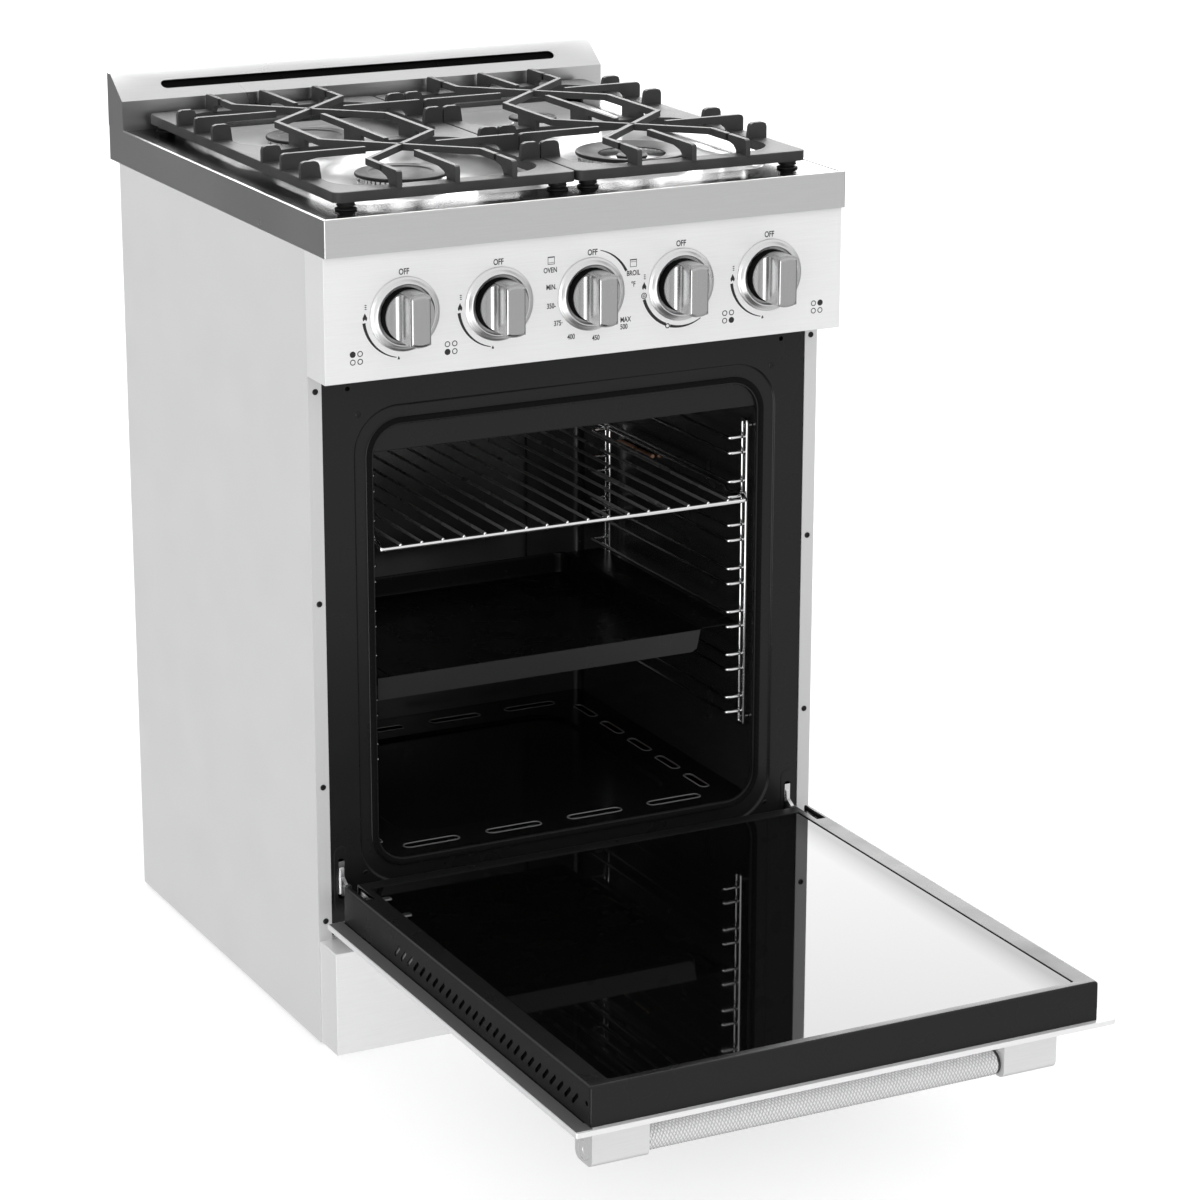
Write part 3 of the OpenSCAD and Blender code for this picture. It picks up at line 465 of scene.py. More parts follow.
LOOKS = {
    brushed: {  # level, roughness, axis of the grain, metallic
        "front_steel": (0.86, 0.44, 0, 0.35),
        "trim_steel": (0.62, 0.32, 0),
        "knob_steel": (0.44, 0.24, 2),
        "bezel_steel": (0.70, 0.30, 2),
        # a very dark steel level, a painted dark reflection on the pan's flat border
        "pan_border": (0.10, 0.20, 0),
        "handle_end_steel": (0.76, 0.30, 0, 0.45),
        "screw_steel": (0.03, 0.40, 2),
        "hinge_steel": (0.75, 0.30, 1),
        "burner_steel": (0.45, 0.45, 0),
        "zinc_sheet": (0.50, 0.45, 0),
    },
    enamel: {  # level, roughness, ripple, specks, specular
        "side_white": (0.62, 0.42, 0.00001, 0.0, 0.15),
        "flange_enamel": (0.10, 0.42, 0.00003, 0.0, 0.30),
        "black_enamel": (0.010, 0.30, 0.00003, 0.0, 0.24),
        "cavity_enamel": (0.020, 0.22, 0.00006, 0.006, 0.60),
        "floor_enamel": (0.004, 0.18, 0.00005, 0.003, 0.30),
        # the tray's front face and its basin are one enamel in a lit and a shaded copy: the basin darker and duller,
        # painted shade inside it
        "tray_face": (0.014, 0.30, 0.00004, 0.0, 0.30),
        # near-black for painted shade in gaps, slots and ducts
        "soot_black": (0.004, 0.80, 0.00003, 0.0, 0.05),
        # much lighter and glossier than the floor enamel, a painted highlight on the slot lips
        "lip_enamel": (0.16, 0.16, 0.00003, 0.0, 1.0),
        "tray_enamel": (0.006, 0.25, 0.00004, 0.0, 0.10),
        "cap_enamel": (0.018, 0.42, 0.00003, 0.014, 0.12),
        "window_glass": (0.003, 0.03, 0.0),
        "igniter_ceramic": (0.80, 0.25, 0.00002),
        "white_plastic": (0.22, 0.45, 0.00003),
        # a plain grey in place of chrome, a painted sheen on the rack's cross wires
        "rack_wire": (0.11, 0.30, 0.00002),
    },
    rubber: {  # level, roughness
        "black_rubber": (0.008, 0.55),
        "black_plastic": (0.015, 0.50),
        "print_black": (0.012, 0.60),
    },
    plain_metal: {  # colour, roughness
        "chrome_wire": (grey(0.82), 0.12),
        "burner_aluminium": (grey(0.82), 0.34),
        "valve_brass": ((0.70, 0.50, 0.22), 0.30),
        "copper_bulb": ((0.72, 0.42, 0.28), 0.30),
    },
    glass: {"inner_glass": ()},
    polished: {"pan_steel": ()},
    iron: {"cast_iron": ()},
    rope: {"gasket_rope": ()},
    wool: {"mineral_wool": ()},
    knurled: {"handle_steel": ()},
}
FINISH = {name: make(name, *look) for make, looks in LOOKS.items() for name, look in looks.items()}

for entry in frame["record"]["subparts"]:
    shown = nodes[entry["node"]].data.materials
    shown.clear()
    shown.append(FINISH[entry["material_slot"]])
# the flue duct is painted near-black, the shade inside it
nodes["flue_duct"].data.materials[0] = FINISH["soot_black"]

# ---- cooktop


def make_trim():
    """Skirt with a rolled top edge, open below and under the backguard."""
    lo, hi, plan, _ = box_mm("cooktop_trim")
    guard = box_mm("backguard")[0]
    roll, lip, wall, fold = 1.2, 4.0, 1.5, 6.2
    profile = [(wall, lo.z), (0, lo.z)]
    profile += [(roll - roll * cos(a), hi.z - roll + roll * sin(a)) for a in (0, 0.5, 1.05, pi / 2)]
    profile += [(lip - roll, hi.z), (lip - roll * 0.3, hi.z - roll * 0.3), (lip, hi.z - roll)]
    profile += [(lip, hi.z - fold), (wall, hi.z - fold)]
    bm = bmesh.new()
    sweep(bm, stack(plan, [(i, max(1.6 - i, 0.5), z) for i, z in profile], flat, 3), joined=True)
    for v in bm.verts:
        if v.co.y > guard.y * MM and v.co.z > guard.z * MM:
            v.co.z = guard.z * MM
    piece("trim", bm, "trim_steel", "cooktop_trim")


def make_pan():
    """Polished pan: a flat border, then a pressed well round the burners."""
    lo, hi, plan, _ = box_mm("cooktop_pan")
    well, corner, under = (plan[0], FRONT + 303.5, 490, 483), 28, 3
    bm = bmesh.new()
    sweep(bm, stack(plan, [(0, 3, lo.z + under), (0, 3, hi.z)])
          + stack(well, [(-3, corner + 3, hi.z), (-3, corner + 3, lo.z + under)]), joined=True)
    # the flat border is painted much darker than the well, a painted dark reflection
    piece("pan_border", bm, "pan_border", "cooktop_pan", smooth=60)
    bm = bmesh.new()
    falls = ((-2.9, hi.z - lo.z), (-2.9, 0), (-1, 0.3), (1.5, 1.6), (4, 3.1), (7, 3.8), (11, 4.0))
    sweep(bm, stack(well, [(inset, corner - inset, hi.z - fall) for inset, fall in falls]), True, True)
    piece("pan_well", bm, "pan_steel", smooth=60)


BAR_W, BAR_H = 5.5, 7.0
TAB_W = 6


def fin_outline(base, top, start, length, inner, fillet=6.0, drop=10.0):
    """Side view of a fin: it stands on the rim, then runs on as a bar towards inner."""
    s = 1 if inner > start else -1
    corner = 4.0
    back = start + s * length
    outline = [(start, base), (start, top - corner), (start + s * 1.2, top - 1.2), (start + s * corner, top)]
    outline += [(inner, top), (inner, top - BAR_H)]
    outline += [(back + s * 2 * drop, top - BAR_H), (back + s * fillet, top - drop)]
    outline += [(back + s * 1.5, top - drop - fillet * 0.6), (back, top - drop - fillet), (back, base)]
    return outline


def make_grate(side):
    """One cast grate: flat rim, fins that rise from it, and bars that cross over the burners."""
    grate = f"grate_{side}"
    _, hi, (cx, cy, w, d), _ = box_mm(grate)
    top, rim_top, rim_low = hi.z, hi.z - 17, hi.z - 28
    base = rim_top - 2
    pitch = box_mm("burner_cap_rear_left")[2][1] - box_mm("burner_cap_front_left")[2][1]
    half, edge = pitch / 2, d / 2
    bm = bmesh.new()

    # rim plate: two halves, each with one round-cornered window over its burner
    for s in SIDES:
        y_mid = cy + s * (d / 4)

        def plate(inset):
            loop = []
            for x, y in rounded((cx, y_mid, w - 2 * inset, d / 2), 0, 9 - inset, 8):
                if (y - y_mid) * s < 0:
                    loop.append((cx + copysign(w / 2 - inset, x - cx), cy))
                else:
                    loop.append((x, y - s * inset))
            return loop

        def window(grow):
            return rounded((cx, cy + s * (half + 4), w - 40, pitch - 12), -grow, 45 + grow, 8)

        rows = ((window, 0, 28), (plate, 0, 28), (plate, 0, 18.5), (plate, 0.45, 17.45), (plate, 1.5, 17),
                (window, 1.2, 17), (window, 0.3, 17.4), (window, 0, 18.2))
        sweep(bm, [flat(shape(by), top - fall) for shape, by, fall in rows], joined=True)

    def bar(points):
        """A straight run of bar through plan points, mitred at the bends."""
        pts = [Vector((cx + x, cy + y)) for x, y in points]
        left, right = [], []
        for i, p in enumerate(pts):
            a = (p - pts[i - 1]).normalized() if i else (pts[1] - p).normalized()
            b = (pts[i + 1] - p).normalized() if i + 1 < len(pts) else a
            n = (Vector((-a.y, a.x)) + Vector((-b.y, b.x))).normalized()
            reach = BAR_W / 2 / max(0.5, n.dot(Vector((-a.y, a.x))))
            left.append(p + n * reach)
            right.append(p - n * reach)
        prism(bm, [(p.x, p.y) for p in left + right[::-1]], "Z", top - BAR_H, top, 1.1)

    def upright(outline, axis, at, width=BAR_W, bevel=1.2):
        """Stands a side view on the rim, across X or Y."""
        along, across = (cy, cx + at) if axis == "X" else (cx, cy + at)
        prism(bm, [(p + along, z) for p, z in outline], axis, across - width / 2, across + width / 2, bevel)

    for s in SIDES:
        c = s * half
        for x in (-65, 65):
            bar([(x, s * (edge - 40)), (x, c + s * 63), (-x, c - s * 63), (-x, 0)])
            upright(fin_outline(base, top, s * edge, 22, s * (edge - 44)), "X", x)
        upright(fin_outline(base, top, s * edge, 22, c + s * 40), "X", 0)
        bar([(0, c - s * 37), (0, 0)])
        for side_x in SIDES:
            start = side_x * w / 2
            upright(fin_outline(base, top, start, 20, side_x * 41), "Y", c)
            x0, x1 = start, start - side_x * 23
            tab = [(x0, base), (x0, top - 5), (x0 - side_x * 1.4, top - 1.4), (x0 - side_x * 5, top),
                   (x1 + side_x * 7, top), (x1 + side_x * 3.4, top - 1.6), (x1 + side_x * 2, top - 4.5), (x1, base)]
            for off in (-52, 52):
                upright(tab, "Y", c + off, TAB_W)
    for x in (-65, 0, 65):
        upright([(-22, base), (-22, top - 3), (22, top - 3), (22, base)], "X", x, BAR_W - 0.4, 1.0)
    piece(f"{grate}_casting", bm, "cast_iron", grate, grate)

    feet = f"grate_feet_{side}"
    lo, hi = box_mm(feet)[:2]
    bm = bmesh.new()
    tall, widest = rim_low - lo.z, 11.5
    steps = [(10.8, 0), (11.5, 0.05), (11.5, 0.16), (10.6, 0.22), (8.2, 0.25), (7.4, 0.33), (7.4, 0.40), (8.4, 0.45),
             (9.6, 0.47), (10, 0.54), (9.6, 0.62), (8.6, 0.66), (8.6, 0.72), (9.4, 0.76), (9.4, 1)]
    profile = [(0, lo.z)] + [(r, lo.z + h * tall) for r, h in steps] + [(0, rim_low)]
    for x in (lo.x + widest, hi.x - widest):
        for y in (lo.y + widest, hi.y - widest):
            lathe(bm, profile, (x, y, 0), steps=32)
    piece(f"{feet}_rubber", bm, "black_rubber", feet, grate)


def make_caps():
    """Burner caps with rounded rims and a shallow dish in the top. The front right one is a ring and a small cap."""
    for where in ("front_left", "rear_left", "rear_right", "front_right"):
        lo, hi, (cx, cy, w, _), _ = box_mm(f"burner_cap_{where}")
        at, r, bottom, top = (cx, cy, 0), w / 2, lo.z, hi.z
        bm = bmesh.new()
        if where == "front_right":
            under = top - 4.4
            ring = [(37, under + 1), (37, under), (r - 1.2, under), (r - 0.3, under + 0.5), (r, under + 1.4),
                    (r, under + 3.0), (r - 0.3, top - 0.5), (r - 1.1, top - 0.05), (r - 2.2, top - 0.1),
                    (r - 6, top - 0.7), (46, top - 2.0), (40, under + 1.6), (38, under + 1.3), (37, under + 1)]
            lathe(bm, ring, at, steps=96)
            face = bottom + 4
            small = [(0, bottom), (16, bottom), (16.8, bottom + 0.6), (17, bottom + 1.5), (16.8, face - 0.8),
                     (15.8, face - 0.1), (12, face), (11, face - 0.5), (0, face - 0.5)]
            lathe(bm, small, at, steps=48)
        else:
            dish = 0.70 * r
            cap = [(0, bottom), (r - 1.2, bottom), (r - 0.3, bottom + 0.4), (r, bottom + 1.3), (r, bottom + 2.2),
                   (r - 0.4, bottom + 3.1), (r - 1.4, top - 0.1), (r - 2.6, top), (dish + 1.5, top),
                   (dish + 0.4, top - 0.3), (dish - 0.3, top - 1.0), (dish - 1.4, top - 1.35), (0, top - 1.4)]
            lathe(bm, cap, at, steps=96)
        piece(f"cap_{where}", bm, "cap_enamel", f"burner_cap_{where}", f"cap_{where}")


def make_backguard():
    """Folded sheet with soft edges and a long vent slot in its sloping face."""
    lo, hi = box_mm("backguard")[:2]
    flat_z, top_y = hi.z - 26.5, hi.y - 10.6
    bm = bmesh.new()
    prism(bm, [(lo.y, lo.z), (lo.y, flat_z), (top_y, hi.z), (hi.y, hi.z), (hi.y, lo.z)], "X", lo.x, hi.x, 1.0, 3)
    guard = piece("backguard_sheet", bm, "trim_steel", "backguard")

    t, below = 1.2, lo.z - 2
    inner = [(lo.y + t, below), (lo.y + t, flat_z - 0.7 * t), (top_y + 0.4 * t, hi.z - t), (hi.y - t, hi.z - t),
             (hi.y - t, below)]
    bm = bmesh.new()
    prism(bm, inner, "X", lo.x + t, hi.x - t)
    slope = atan2(hi.z - flat_z, top_y - lo.y)
    middle = Vector((0, (lo.y + top_y) / 2, (flat_z + hi.z) / 2))
    turn = Matrix.Translation(middle) @ Matrix.Rotation(slope, 4, "X")
    half, r = 248.5, 6.5
    before = len(bm.verts)
    prism(bm, arc(r - half, 0, r, 90, 270, 10) + arc(half - r, 0, r, -90, 90, 10), "Z", -5, 5)
    bm.verts.ensure_lookup_table()
    for v in bm.verts[before:]:
        v.co = (turn @ (v.co / MM)) * MM
    cut(guard, bm)

    # painted shade: a near-black plate just under the vent slot, and dark dividers, make the slot read dark inside
    bm = bmesh.new()
    for x in (-98, 98):
        rib = [(lo.y + 14, flat_z + 6), (top_y, hi.z - 3), (top_y, hi.z - 18), (lo.y + 14, flat_z - 10)]
        prism(bm, rib, "X", x - 1, x + 1, 0.2, 1)
    depth, thick = 4.5, 1.5
    back = [(lo.y + 3, flat_z - depth), (top_y, hi.z - depth), (top_y, hi.z - depth - thick),
            (lo.y + 3, flat_z - depth - thick)]
    prism(bm, back, "X", lo.x + 3, hi.x - 3)
    piece("vent_throat", bm, "soot_black")


# ---- sheet metal of the body

SHEET = 1.2
KNOB_Z = 808.5


def make_side(panel, side):
    """Side panel with its front and rear flanges folded in. The left one has the gas inlet's hole."""
    lo, hi = box_mm(panel)[:2]
    r, t = 1.6, SHEET
    outer = side * max(abs(lo.x), abs(hi.x))
    front, rear, inside = outer - side * 15.6, outer - side * 20, outer - side * t
    section = [(front, lo.y), (outer - side * r, lo.y), (outer - side * 0.4, lo.y + 0.4), (outer, lo.y + r),
               (outer, hi.y - r), (outer - side * 0.4, hi.y - 0.4), (outer - side * r, hi.y), (rear, hi.y),
               (rear, hi.y - t), (inside, hi.y - t), (inside, lo.y + t), (front, lo.y + t)]
    bm = bmesh.new()
    prism(bm, section, "Z", lo.z, hi.z)
    made = piece(f"{panel}_sheet", bm, "side_white", panel)
    if side < 0:
        bm = bmesh.new()
        disc(bm, 12.6, hi.y - 12, hi.y + 12, (box_mm("gas_manifold")[0].x + 14, 0, KNOB_Z), "Y", 40)
        cut(made, bm)


def make_front_sheet(panel):
    """Shallow pan of sheet metal that faces forward."""
    lo, hi, _, face = box_mm(panel)
    t, bend_in = SHEET, SHEET * 0.3
    bm = bmesh.new()
    sweep(bm, stack(face, [(t, 0.5, hi.y), (t, 0.5, lo.y + t)], facing, 2))
    sweep(bm, stack(face, [(0, 0.8, hi.y), (0, 0.8, lo.y + t), (bend_in, 0.8, lo.y + bend_in), (t, 0.8, lo.y)],
                    facing, 2), False, True)
    bmesh.ops.remove_doubles(bm, verts=bm.verts, dist=1e-7)
    piece(f"{panel}_sheet", bm, "front_steel", panel)


def make_front_frame():
    """Enamelled front: flat border, pressed step, and a rolled lip at the mouth."""
    lo, _, _, (_, cz, w, h) = box_mm("oven_front_frame")
    y = lo.y
    mouth_w, mouth_lo, mouth_hi = 457, 198, 679
    mouth_z, mouth_h = (mouth_lo + mouth_hi) / 2, mouth_hi - mouth_lo
    mouth = (0, mouth_z, mouth_w, mouth_h, 32)
    step = (0, mouth_z - 2, mouth_w + 44, mouth_h + 48, 50)
    border = (0, cz, w, h, 1)

    def ring(shape, grow, depth):
        return facing(rounded(shape[:4], -grow, shape[4] + grow, 12), y + depth)

    loops = [(border, 0, 1.2), (border, 0, 0.4), (border, -0.4, 0), (step, 1.2, 0), (step, 0.4, 0.25),
             (step, -0.2, 0.9), (step, -0.7, 1.7), (step, -1.5, 2.2), (step, -2.6, 2.4), (mouth, 9, 2.4),
             (mouth, 8.2, 2.2), (mouth, 7.6, 1.6), (mouth, 7.0, 1.2), (mouth, 6.0, 1.0), (mouth, 1.6, 1.0),
             (mouth, 0.5, 1.4), (mouth, 0, 2.4), (mouth, 0, 3.6), (mouth, 10, 3.6), (step, 1.2, 3.6),
             (step, 1.2, 1.2)]
    bm = bmesh.new()
    sweep(bm, [ring(*loop) for loop in loops], joined=True)
    made = piece("front_frame", bm, "black_enamel", "oven_front_frame", smooth=50)
    bm = bmesh.new()
    for s in SIDES:
        block(bm, (s * HINGE_X - 5.5, y - 5, 162), (s * HINGE_X + 5.5, y + 5, 212))
        disc(bm, 2.6, y - 5, y + 5, (s * 257, 0, 724), "Y", 20)
    cut(made, bm)

    bm = bmesh.new()
    section = [(5.2 + 3.2 * cos(a), 0.7 + 1.55 * sin(a)) for a in (k * pi / 5 for k in range(10))]
    sweep(bm, [ring(mouth, grow, depth) for grow, depth in section], joined=True)
    piece("mouth_gasket", bm, "gasket_rope", "oven_gasket", smooth=60)

    bm = bmesh.new()
    plate_z = 187
    for s in SIDES:
        x = s * HINGE_X
        plate = [(x + px, z) for px, z in stadium(0, plate_z, 17, 73.5)]
        slot = [(x + px, z) for px, z in stadium(0, plate_z, 8, 46)]
        wide = grown(slot, x, plate_z, 1.2)
        loops = [facing(plate, y), facing(plate, y - 0.3), facing(grown(plate, x, plate_z, -0.4), y - 0.6),
                 facing(grown(slot, x, plate_z, 0.5), y - 0.6), facing(slot, y - 0.2), facing(slot, y + 30),
                 facing(wide, y + 30), facing(wide, y)]
        sweep(bm, loops, joined=True)
    piece("hinge_plates", bm, "black_enamel", "hinge_receivers")


def make_screws():
    """Pan head screws in the white flanges, and countersunk ones on the black frame."""
    bm = bmesh.new()
    head = [(0, 0.55), (0.8, 0.55), (1.0, 1.1), (2.0, 1.35), (2.8, 1.0), (3.2, 0.4), (3.2, 0), (0, 0)]
    for s in SIDES:
        for z in (725, 497, 294, 142):
            lathe(bm, head, (s * 293.6, FRAME_Y - 1.2, z), "-Y", 20)
        for z in (189, 695.5):
            lathe(bm, [(r, h * 0.55) for r, h in head], (s * 245.5, FRAME_Y, z), "-Y", 20)
    piece("screw_heads", bm, "screw_steel", "front_screws", smooth=30)


# ---- oven


def make_liner():
    """Enamelled cavity with round vertical corners at the back and a pressed panel in its rear wall."""
    lo, hi, _, face = box_mm("oven_liner")
    bend_r, t = 9, SHEET
    back = hi.y - t
    rows = [(3, 18, hi.y), (0, 18, hi.y - 4), (0, 18, lo.y), (t, 17, lo.y), (t, 17, back - bend_r)]
    rows += [(t + bend_r * (1 - cos(a)), 17, back - bend_r * (1 - sin(a)))
             for a in (0.35, 0.75, 1.15, pi / 2)]
    rows += [(70, 22, back), (73, 22, back - 2.5), (78, 22, back - 3)]
    bm = bmesh.new()
    sweep(bm, stack(face, rows, facing), True, True)
    piece("cavity", bm, "cavity_enamel", "oven_liner", smooth=50)

    lo, hi = box_mm("oven_header")[:2]
    section = [(lo.y, hi.z), (lo.y, lo.z + 2), (lo.y + 0.6, lo.z + 0.5), (lo.y + 2, lo.z), (hi.y, lo.z),
               (hi.y, lo.z + t), (lo.y + 2, lo.z + t), (lo.y + t, lo.z + 2), (lo.y + t, hi.z)]
    bm = bmesh.new()
    prism(bm, section, "X", lo.x, hi.x)
    piece("header", bm, "black_enamel", "oven_header")


def make_oven_floor():
    """Slotted ledge round a shallow well. Every slot has a raised lip."""
    lo, hi, plan, _ = box_mm("oven_floor")
    cx, cy, w, _ = plan
    z, well = hi.z - 0.8, (cx, cy, 330, 300)
    bm = bmesh.new()
    sweep(bm, stack(well, [(2, 32, z - 4.6), (-3, 36, z - 4)]) + stack(plan, [(0, 2, z - 1.2), (0, 2, z)])
          + stack(well, [(-4, 38, z), (-2.5, 36.5, z - 0.3), (-1, 35, z - 1.5), (0, 34, z - 3), (2, 32, z - 3.6)]),
          True, True)
    bmesh.ops.remove_doubles(bm, verts=bm.verts, dist=1e-7)
    for s in SIDES:
        wall = cx + s * (w / 2 - 1)
        block(bm, (wall - 1, lo.y, lo.z), (wall + 1, hi.y, z - 1.3))
    made = piece("oven_floor_sheet", bm, "floor_enamel", "oven_floor", smooth=50)

    def outline(x, y, along, across, turned, grow):
        if turned:
            return stadium(x, y, along + 2 * grow, across + 2 * grow)
        return [(q - y + x, p - x + y) for p, q in stadium(x, y, across + 2 * grow, along + 2 * grow)]

    slots = [(x, cy + s * 185, 64, 11, False) for x in (-150, -50, 50, 150) for s in SIDES]
    slots += [(s * 203, cy + 70 * k, 9, 46, True) for k in range(-2, 3) for s in SIDES]
    bm = bmesh.new()
    for slot in slots:
        prism(bm, outline(*slot, 0), "Z", z - 3, z + 3)
    cut(made, bm)
    bm = bmesh.new()
    rim = [(0, -1.2), (0, 0.1), (0.4, 0.7), (1.1, 0.7), (1.9, 0.1), (2.3, -0.2)]
    for slot in slots:
        sweep(bm, [flat(outline(*slot, grow), z + h) for grow, h in rim])
    # the lips are painted much lighter than the floor round them, a painted highlight
    piece("oven_floor_lips", bm, "lip_enamel", smooth=60)


def make_wires():
    """Ladders, rack and thermostat bulb, all of round bright wire."""
    lo, hi = box_mm("rack_ladders")[:2]
    d, upright_x, tip_x, wall_x = 4.0, 226, 206, 234
    low, high, rear = lo.z + d / 2, hi.z - d / 2, hi.y - d / 2
    paths = []
    for s, front in ((1, lo.y + d / 2), (-1, lo.y + d / 2 + 30)):
        x, root = s * upright_x, s * (upright_x + 2)
        for y in (front, rear - 10):
            paths.append([(x, y + 5, low), (x, y, low), (x, y, high), (x, y + 10, high), (x, y + 10, low),
                          (x, y + 4.9, low)])
        a, b = front + 3.4, rear - 3.4
        for k in range(7):
            for up in (0, 17.5):
                z = low + 15 + 50 * k + up
                paths.append([(root, a, z), (s * tip_x, a, z), (s * tip_x, b, z), (root, b, z)])
        for y in (front + 5, rear - 5):
            for z in (low + 7, high - 7):
                paths.append([(x, y - 5, z), (x, y, z), (s * wall_x, y, z)])
    wires("ladders", paths, d, 4.5, "chrome_wire", "rack_ladders")

    lo, hi = box_mm("oven_rack")[:2]
    r, stop, pitch = 2.5, 3.4, 24.6
    x, y0, y1, z, dip = hi.x - r, lo.y + r, hi.y - r, hi.z - r, hi.z - lo.z - 2 * r
    side = [(x, y1, z), (x, y0 + 44, z), (x - 3, y0 + 36, z - stop), (x - 3, y0 + 24, z - stop),
            (x, y0 + 16, z), (x, y0 + 9, z), (x, y0, z - dip)]
    path = [(0, y1, z)] + side + [(-px, py, pz) for px, py, pz in side[::-1]] + [(0.1, y1, z)]
    wires("rack_frame", [path], 5, 3, "chrome_wire", "oven_rack", "rack")
    at = [k * pitch for k in range(-8, 9)]
    cross = [[(px, y0 - 0.6, z - 3), (px, y1, z - 3)] for px in at]
    # the cross wires get a painted sheen: plain grey, not the frame's chrome
    wires("rack_cross_wires", cross, 3.4, 2, "rack_wire", None, "rack")
    bm = bmesh.new()
    for px in at:
        weld = Matrix.Translation(mm(px, y0 - 0.2, z - dip + 2.9))
        bmesh.ops.create_icosphere(bm, subdivisions=2, radius=1.9 * MM, matrix=weld)
    piece("rack_welds", bm, "chrome_wire", None, "rack")

    lo, hi, _, (x, z, _, _) = box_mm("thermostat_bulb")
    x -= 0.5
    bulb = [(x, lo.y + 2, z), (x, hi.y - 12, z), (x, hi.y - 4, z - 2), (x + 2.4, hi.y - 3, z - 3)]
    wires("thermostat_capillary", [bulb], 5, 3, "copper_bulb", "thermostat_bulb")


def make_tray():
    """Enamelled roasting tray: deep basin, rolled rim and a broad flange on each side."""
    lo, hi = box_mm("roasting_tray")[:2]
    x0, x1, y0, y1 = -204, 175, lo.y, hi.y
    top, bottom, flange = hi.z, lo.z, 1
    plan = ((x0 + x1) / 2, (y0 + y1) / 2, x1 - x0, y1 - y0)
    section = [(12, bottom + 1), (7, bottom + 1.3), (3.5, bottom + 3), (2.6, bottom + 7), (1.2, top - 4),
               (0.9, top - 1.2), (0.3, top - 0.3), (-0.6, top), (-1.8, top), (-2.0, top - 0.8), (-1.6, top - 1.6),
               (-0.2, top - 1.7), (0.2, top - 4), (1.6, bottom + 7), (2.6, bottom + 2.2), (6.6, bottom + 0.3),
               (12, bottom)]
    bm = bmesh.new()
    sweep(bm, [[(x, min(max(y, y0 + 1.0), y1), z) for x, y in rounded(plan, i, max(15 - i, 2), 8)]
               for i, z in section], True, True)
    for a, b in ((lo.x, x0 - 0.5), (x1 + 0.5, hi.x)):
        prism(bm, [(a, y0 + 6), (b, y0 + 6), (b, y1 - 6), (a, y1 - 6)], "Z", top - flange, top, 0.4)
    # the basin is a darker, duller copy of the front face's enamel, painted shade inside the tray
    piece("tray_basin", bm, "tray_enamel", "roasting_tray", "tray", smooth=50)
    bm = bmesh.new()
    face = [(lo.x, bottom + 1.5), (x1 - 15, bottom + 1.5), (x1 - 9, bottom + 5), (x1 - 5, top - 2), (x1 - 5, top),
            (lo.x, top)]
    prism(bm, face, "Y", y0, y0 + 1.6, 0.5)
    piece("tray_front", bm, "tray_face", None, "tray")


# ---- control panel

KNOB_X = [-213, -106.5, 0, 106.5, 213]
PANEL_Y = box_mm("control_panel")[0].y
PRINT_Y = PANEL_Y - 0.06


def make_bezels():
    bm = bmesh.new()
    ring = [(31, 0), (31, 6.4), (31.5, 6.9), (32.6, 7), (33.5, 6.6), (36.0, 3.6), (36.8, 3.0), (38.2, 2.6),
            (39, 1.8), (39, 0), (31, 0)]
    for x in KNOB_X:
        lathe(bm, ring, (x, PANEL_Y, KNOB_Z), "-Y", 96)
    piece("bezels", bm, "bezel_steel", "knob_bezels", smooth=50)


def make_knob(number):
    """Knob: a round base with two scooped sides, and a longer bar across it."""
    knob = f"knob_{number}"
    lo, hi, _, (cx, cz, w, _) = box_mm(knob)
    r = w / 2
    disc_r, face, front, bar_hw, scoop, skirt = r - 1.8, 15.5, PANEL_Y - lo.y, 11.4, 9, 13.5

    # half of the scooped side view, from the middle out
    half = [(0, front - 1), (bar_hw - 1, front - 1), (bar_hw - 1, front - 3)]
    half += [(bar_hw + scoop + scoop * cos(a), face + scoop + scoop * sin(a))
             for a in (radians(180 + 15 * i) for i in range(7))]
    half += [(disc_r * sin(radians(t)), face) for t in (54, 61, 68, 74, 80, 85, 88.5)]
    bm = bmesh.new()
    columns = []
    for x, p in [(-x, p) for x, p in half[:0:-1]] + half:
        s = sqrt(max(disc_r ** 2 - x * x, 0.5))
        columns.append([bm.verts.new(mm(cx + x, PANEL_Y - h, cz + z))
                        for h, z in ((skirt, -s), (p, -s), (p, s), (skirt, s))])
    for a, b in zip(columns, columns[1:]):
        skin(bm, a, b)
    bm.faces.new(columns[0])
    bm.faces.new(columns[-1][::-1])
    bmesh.ops.recalc_face_normals(bm, faces=bm.faces)
    sharp = [e for e in bm.edges if len(e.link_faces) == 2 and e.calc_face_angle(0) > radians(38)
             and min(v.co.y for v in e.verts) < (PANEL_Y - skirt - 1) * MM]
    bmesh.ops.bevel(bm, geom=sharp, offset=0.9 * MM, segments=2, profile=0.5, affect="EDGES", clamp_overlap=True)

    bar_r = r - 1.2
    spread = asin(bar_hw / bar_r)
    top = [(bar_r * sin(a), bar_r * cos(a)) for a in (spread * (1 - i / 4) for i in range(9))]
    outline = top + [(-x, -z) for x, z in top]
    edge = [(0, skirt), (0, front - 3.4), (0.3, front - 2.2), (1.0, front - 0.9), (2.2, front - 0.1), (2.8, front)]
    sweep(bm, [[(cx + x * (1 - inset / bar_hw), PANEL_Y - h, cz + z * (1 - 1.7 * inset / r)) for x, z in outline]
               for inset, h in edge], True, True)
    piece(f"{knob}_body", bm, "knob_steel", knob, knob, smooth=28)
    # the skirt is near-black, painted shade in the gap between knob and bezel
    bm = bmesh.new()
    rear = PANEL_Y - hi.y
    lathe(bm, [(4, rear), (r - 0.7, rear), (r - 0.7, skirt - 4), (disc_r - 0.4, skirt), (4, skirt)],
          (cx, PANEL_Y, cz), "-Y", 64)
    piece(f"{knob}_skirt", bm, "soot_black", None, knob)


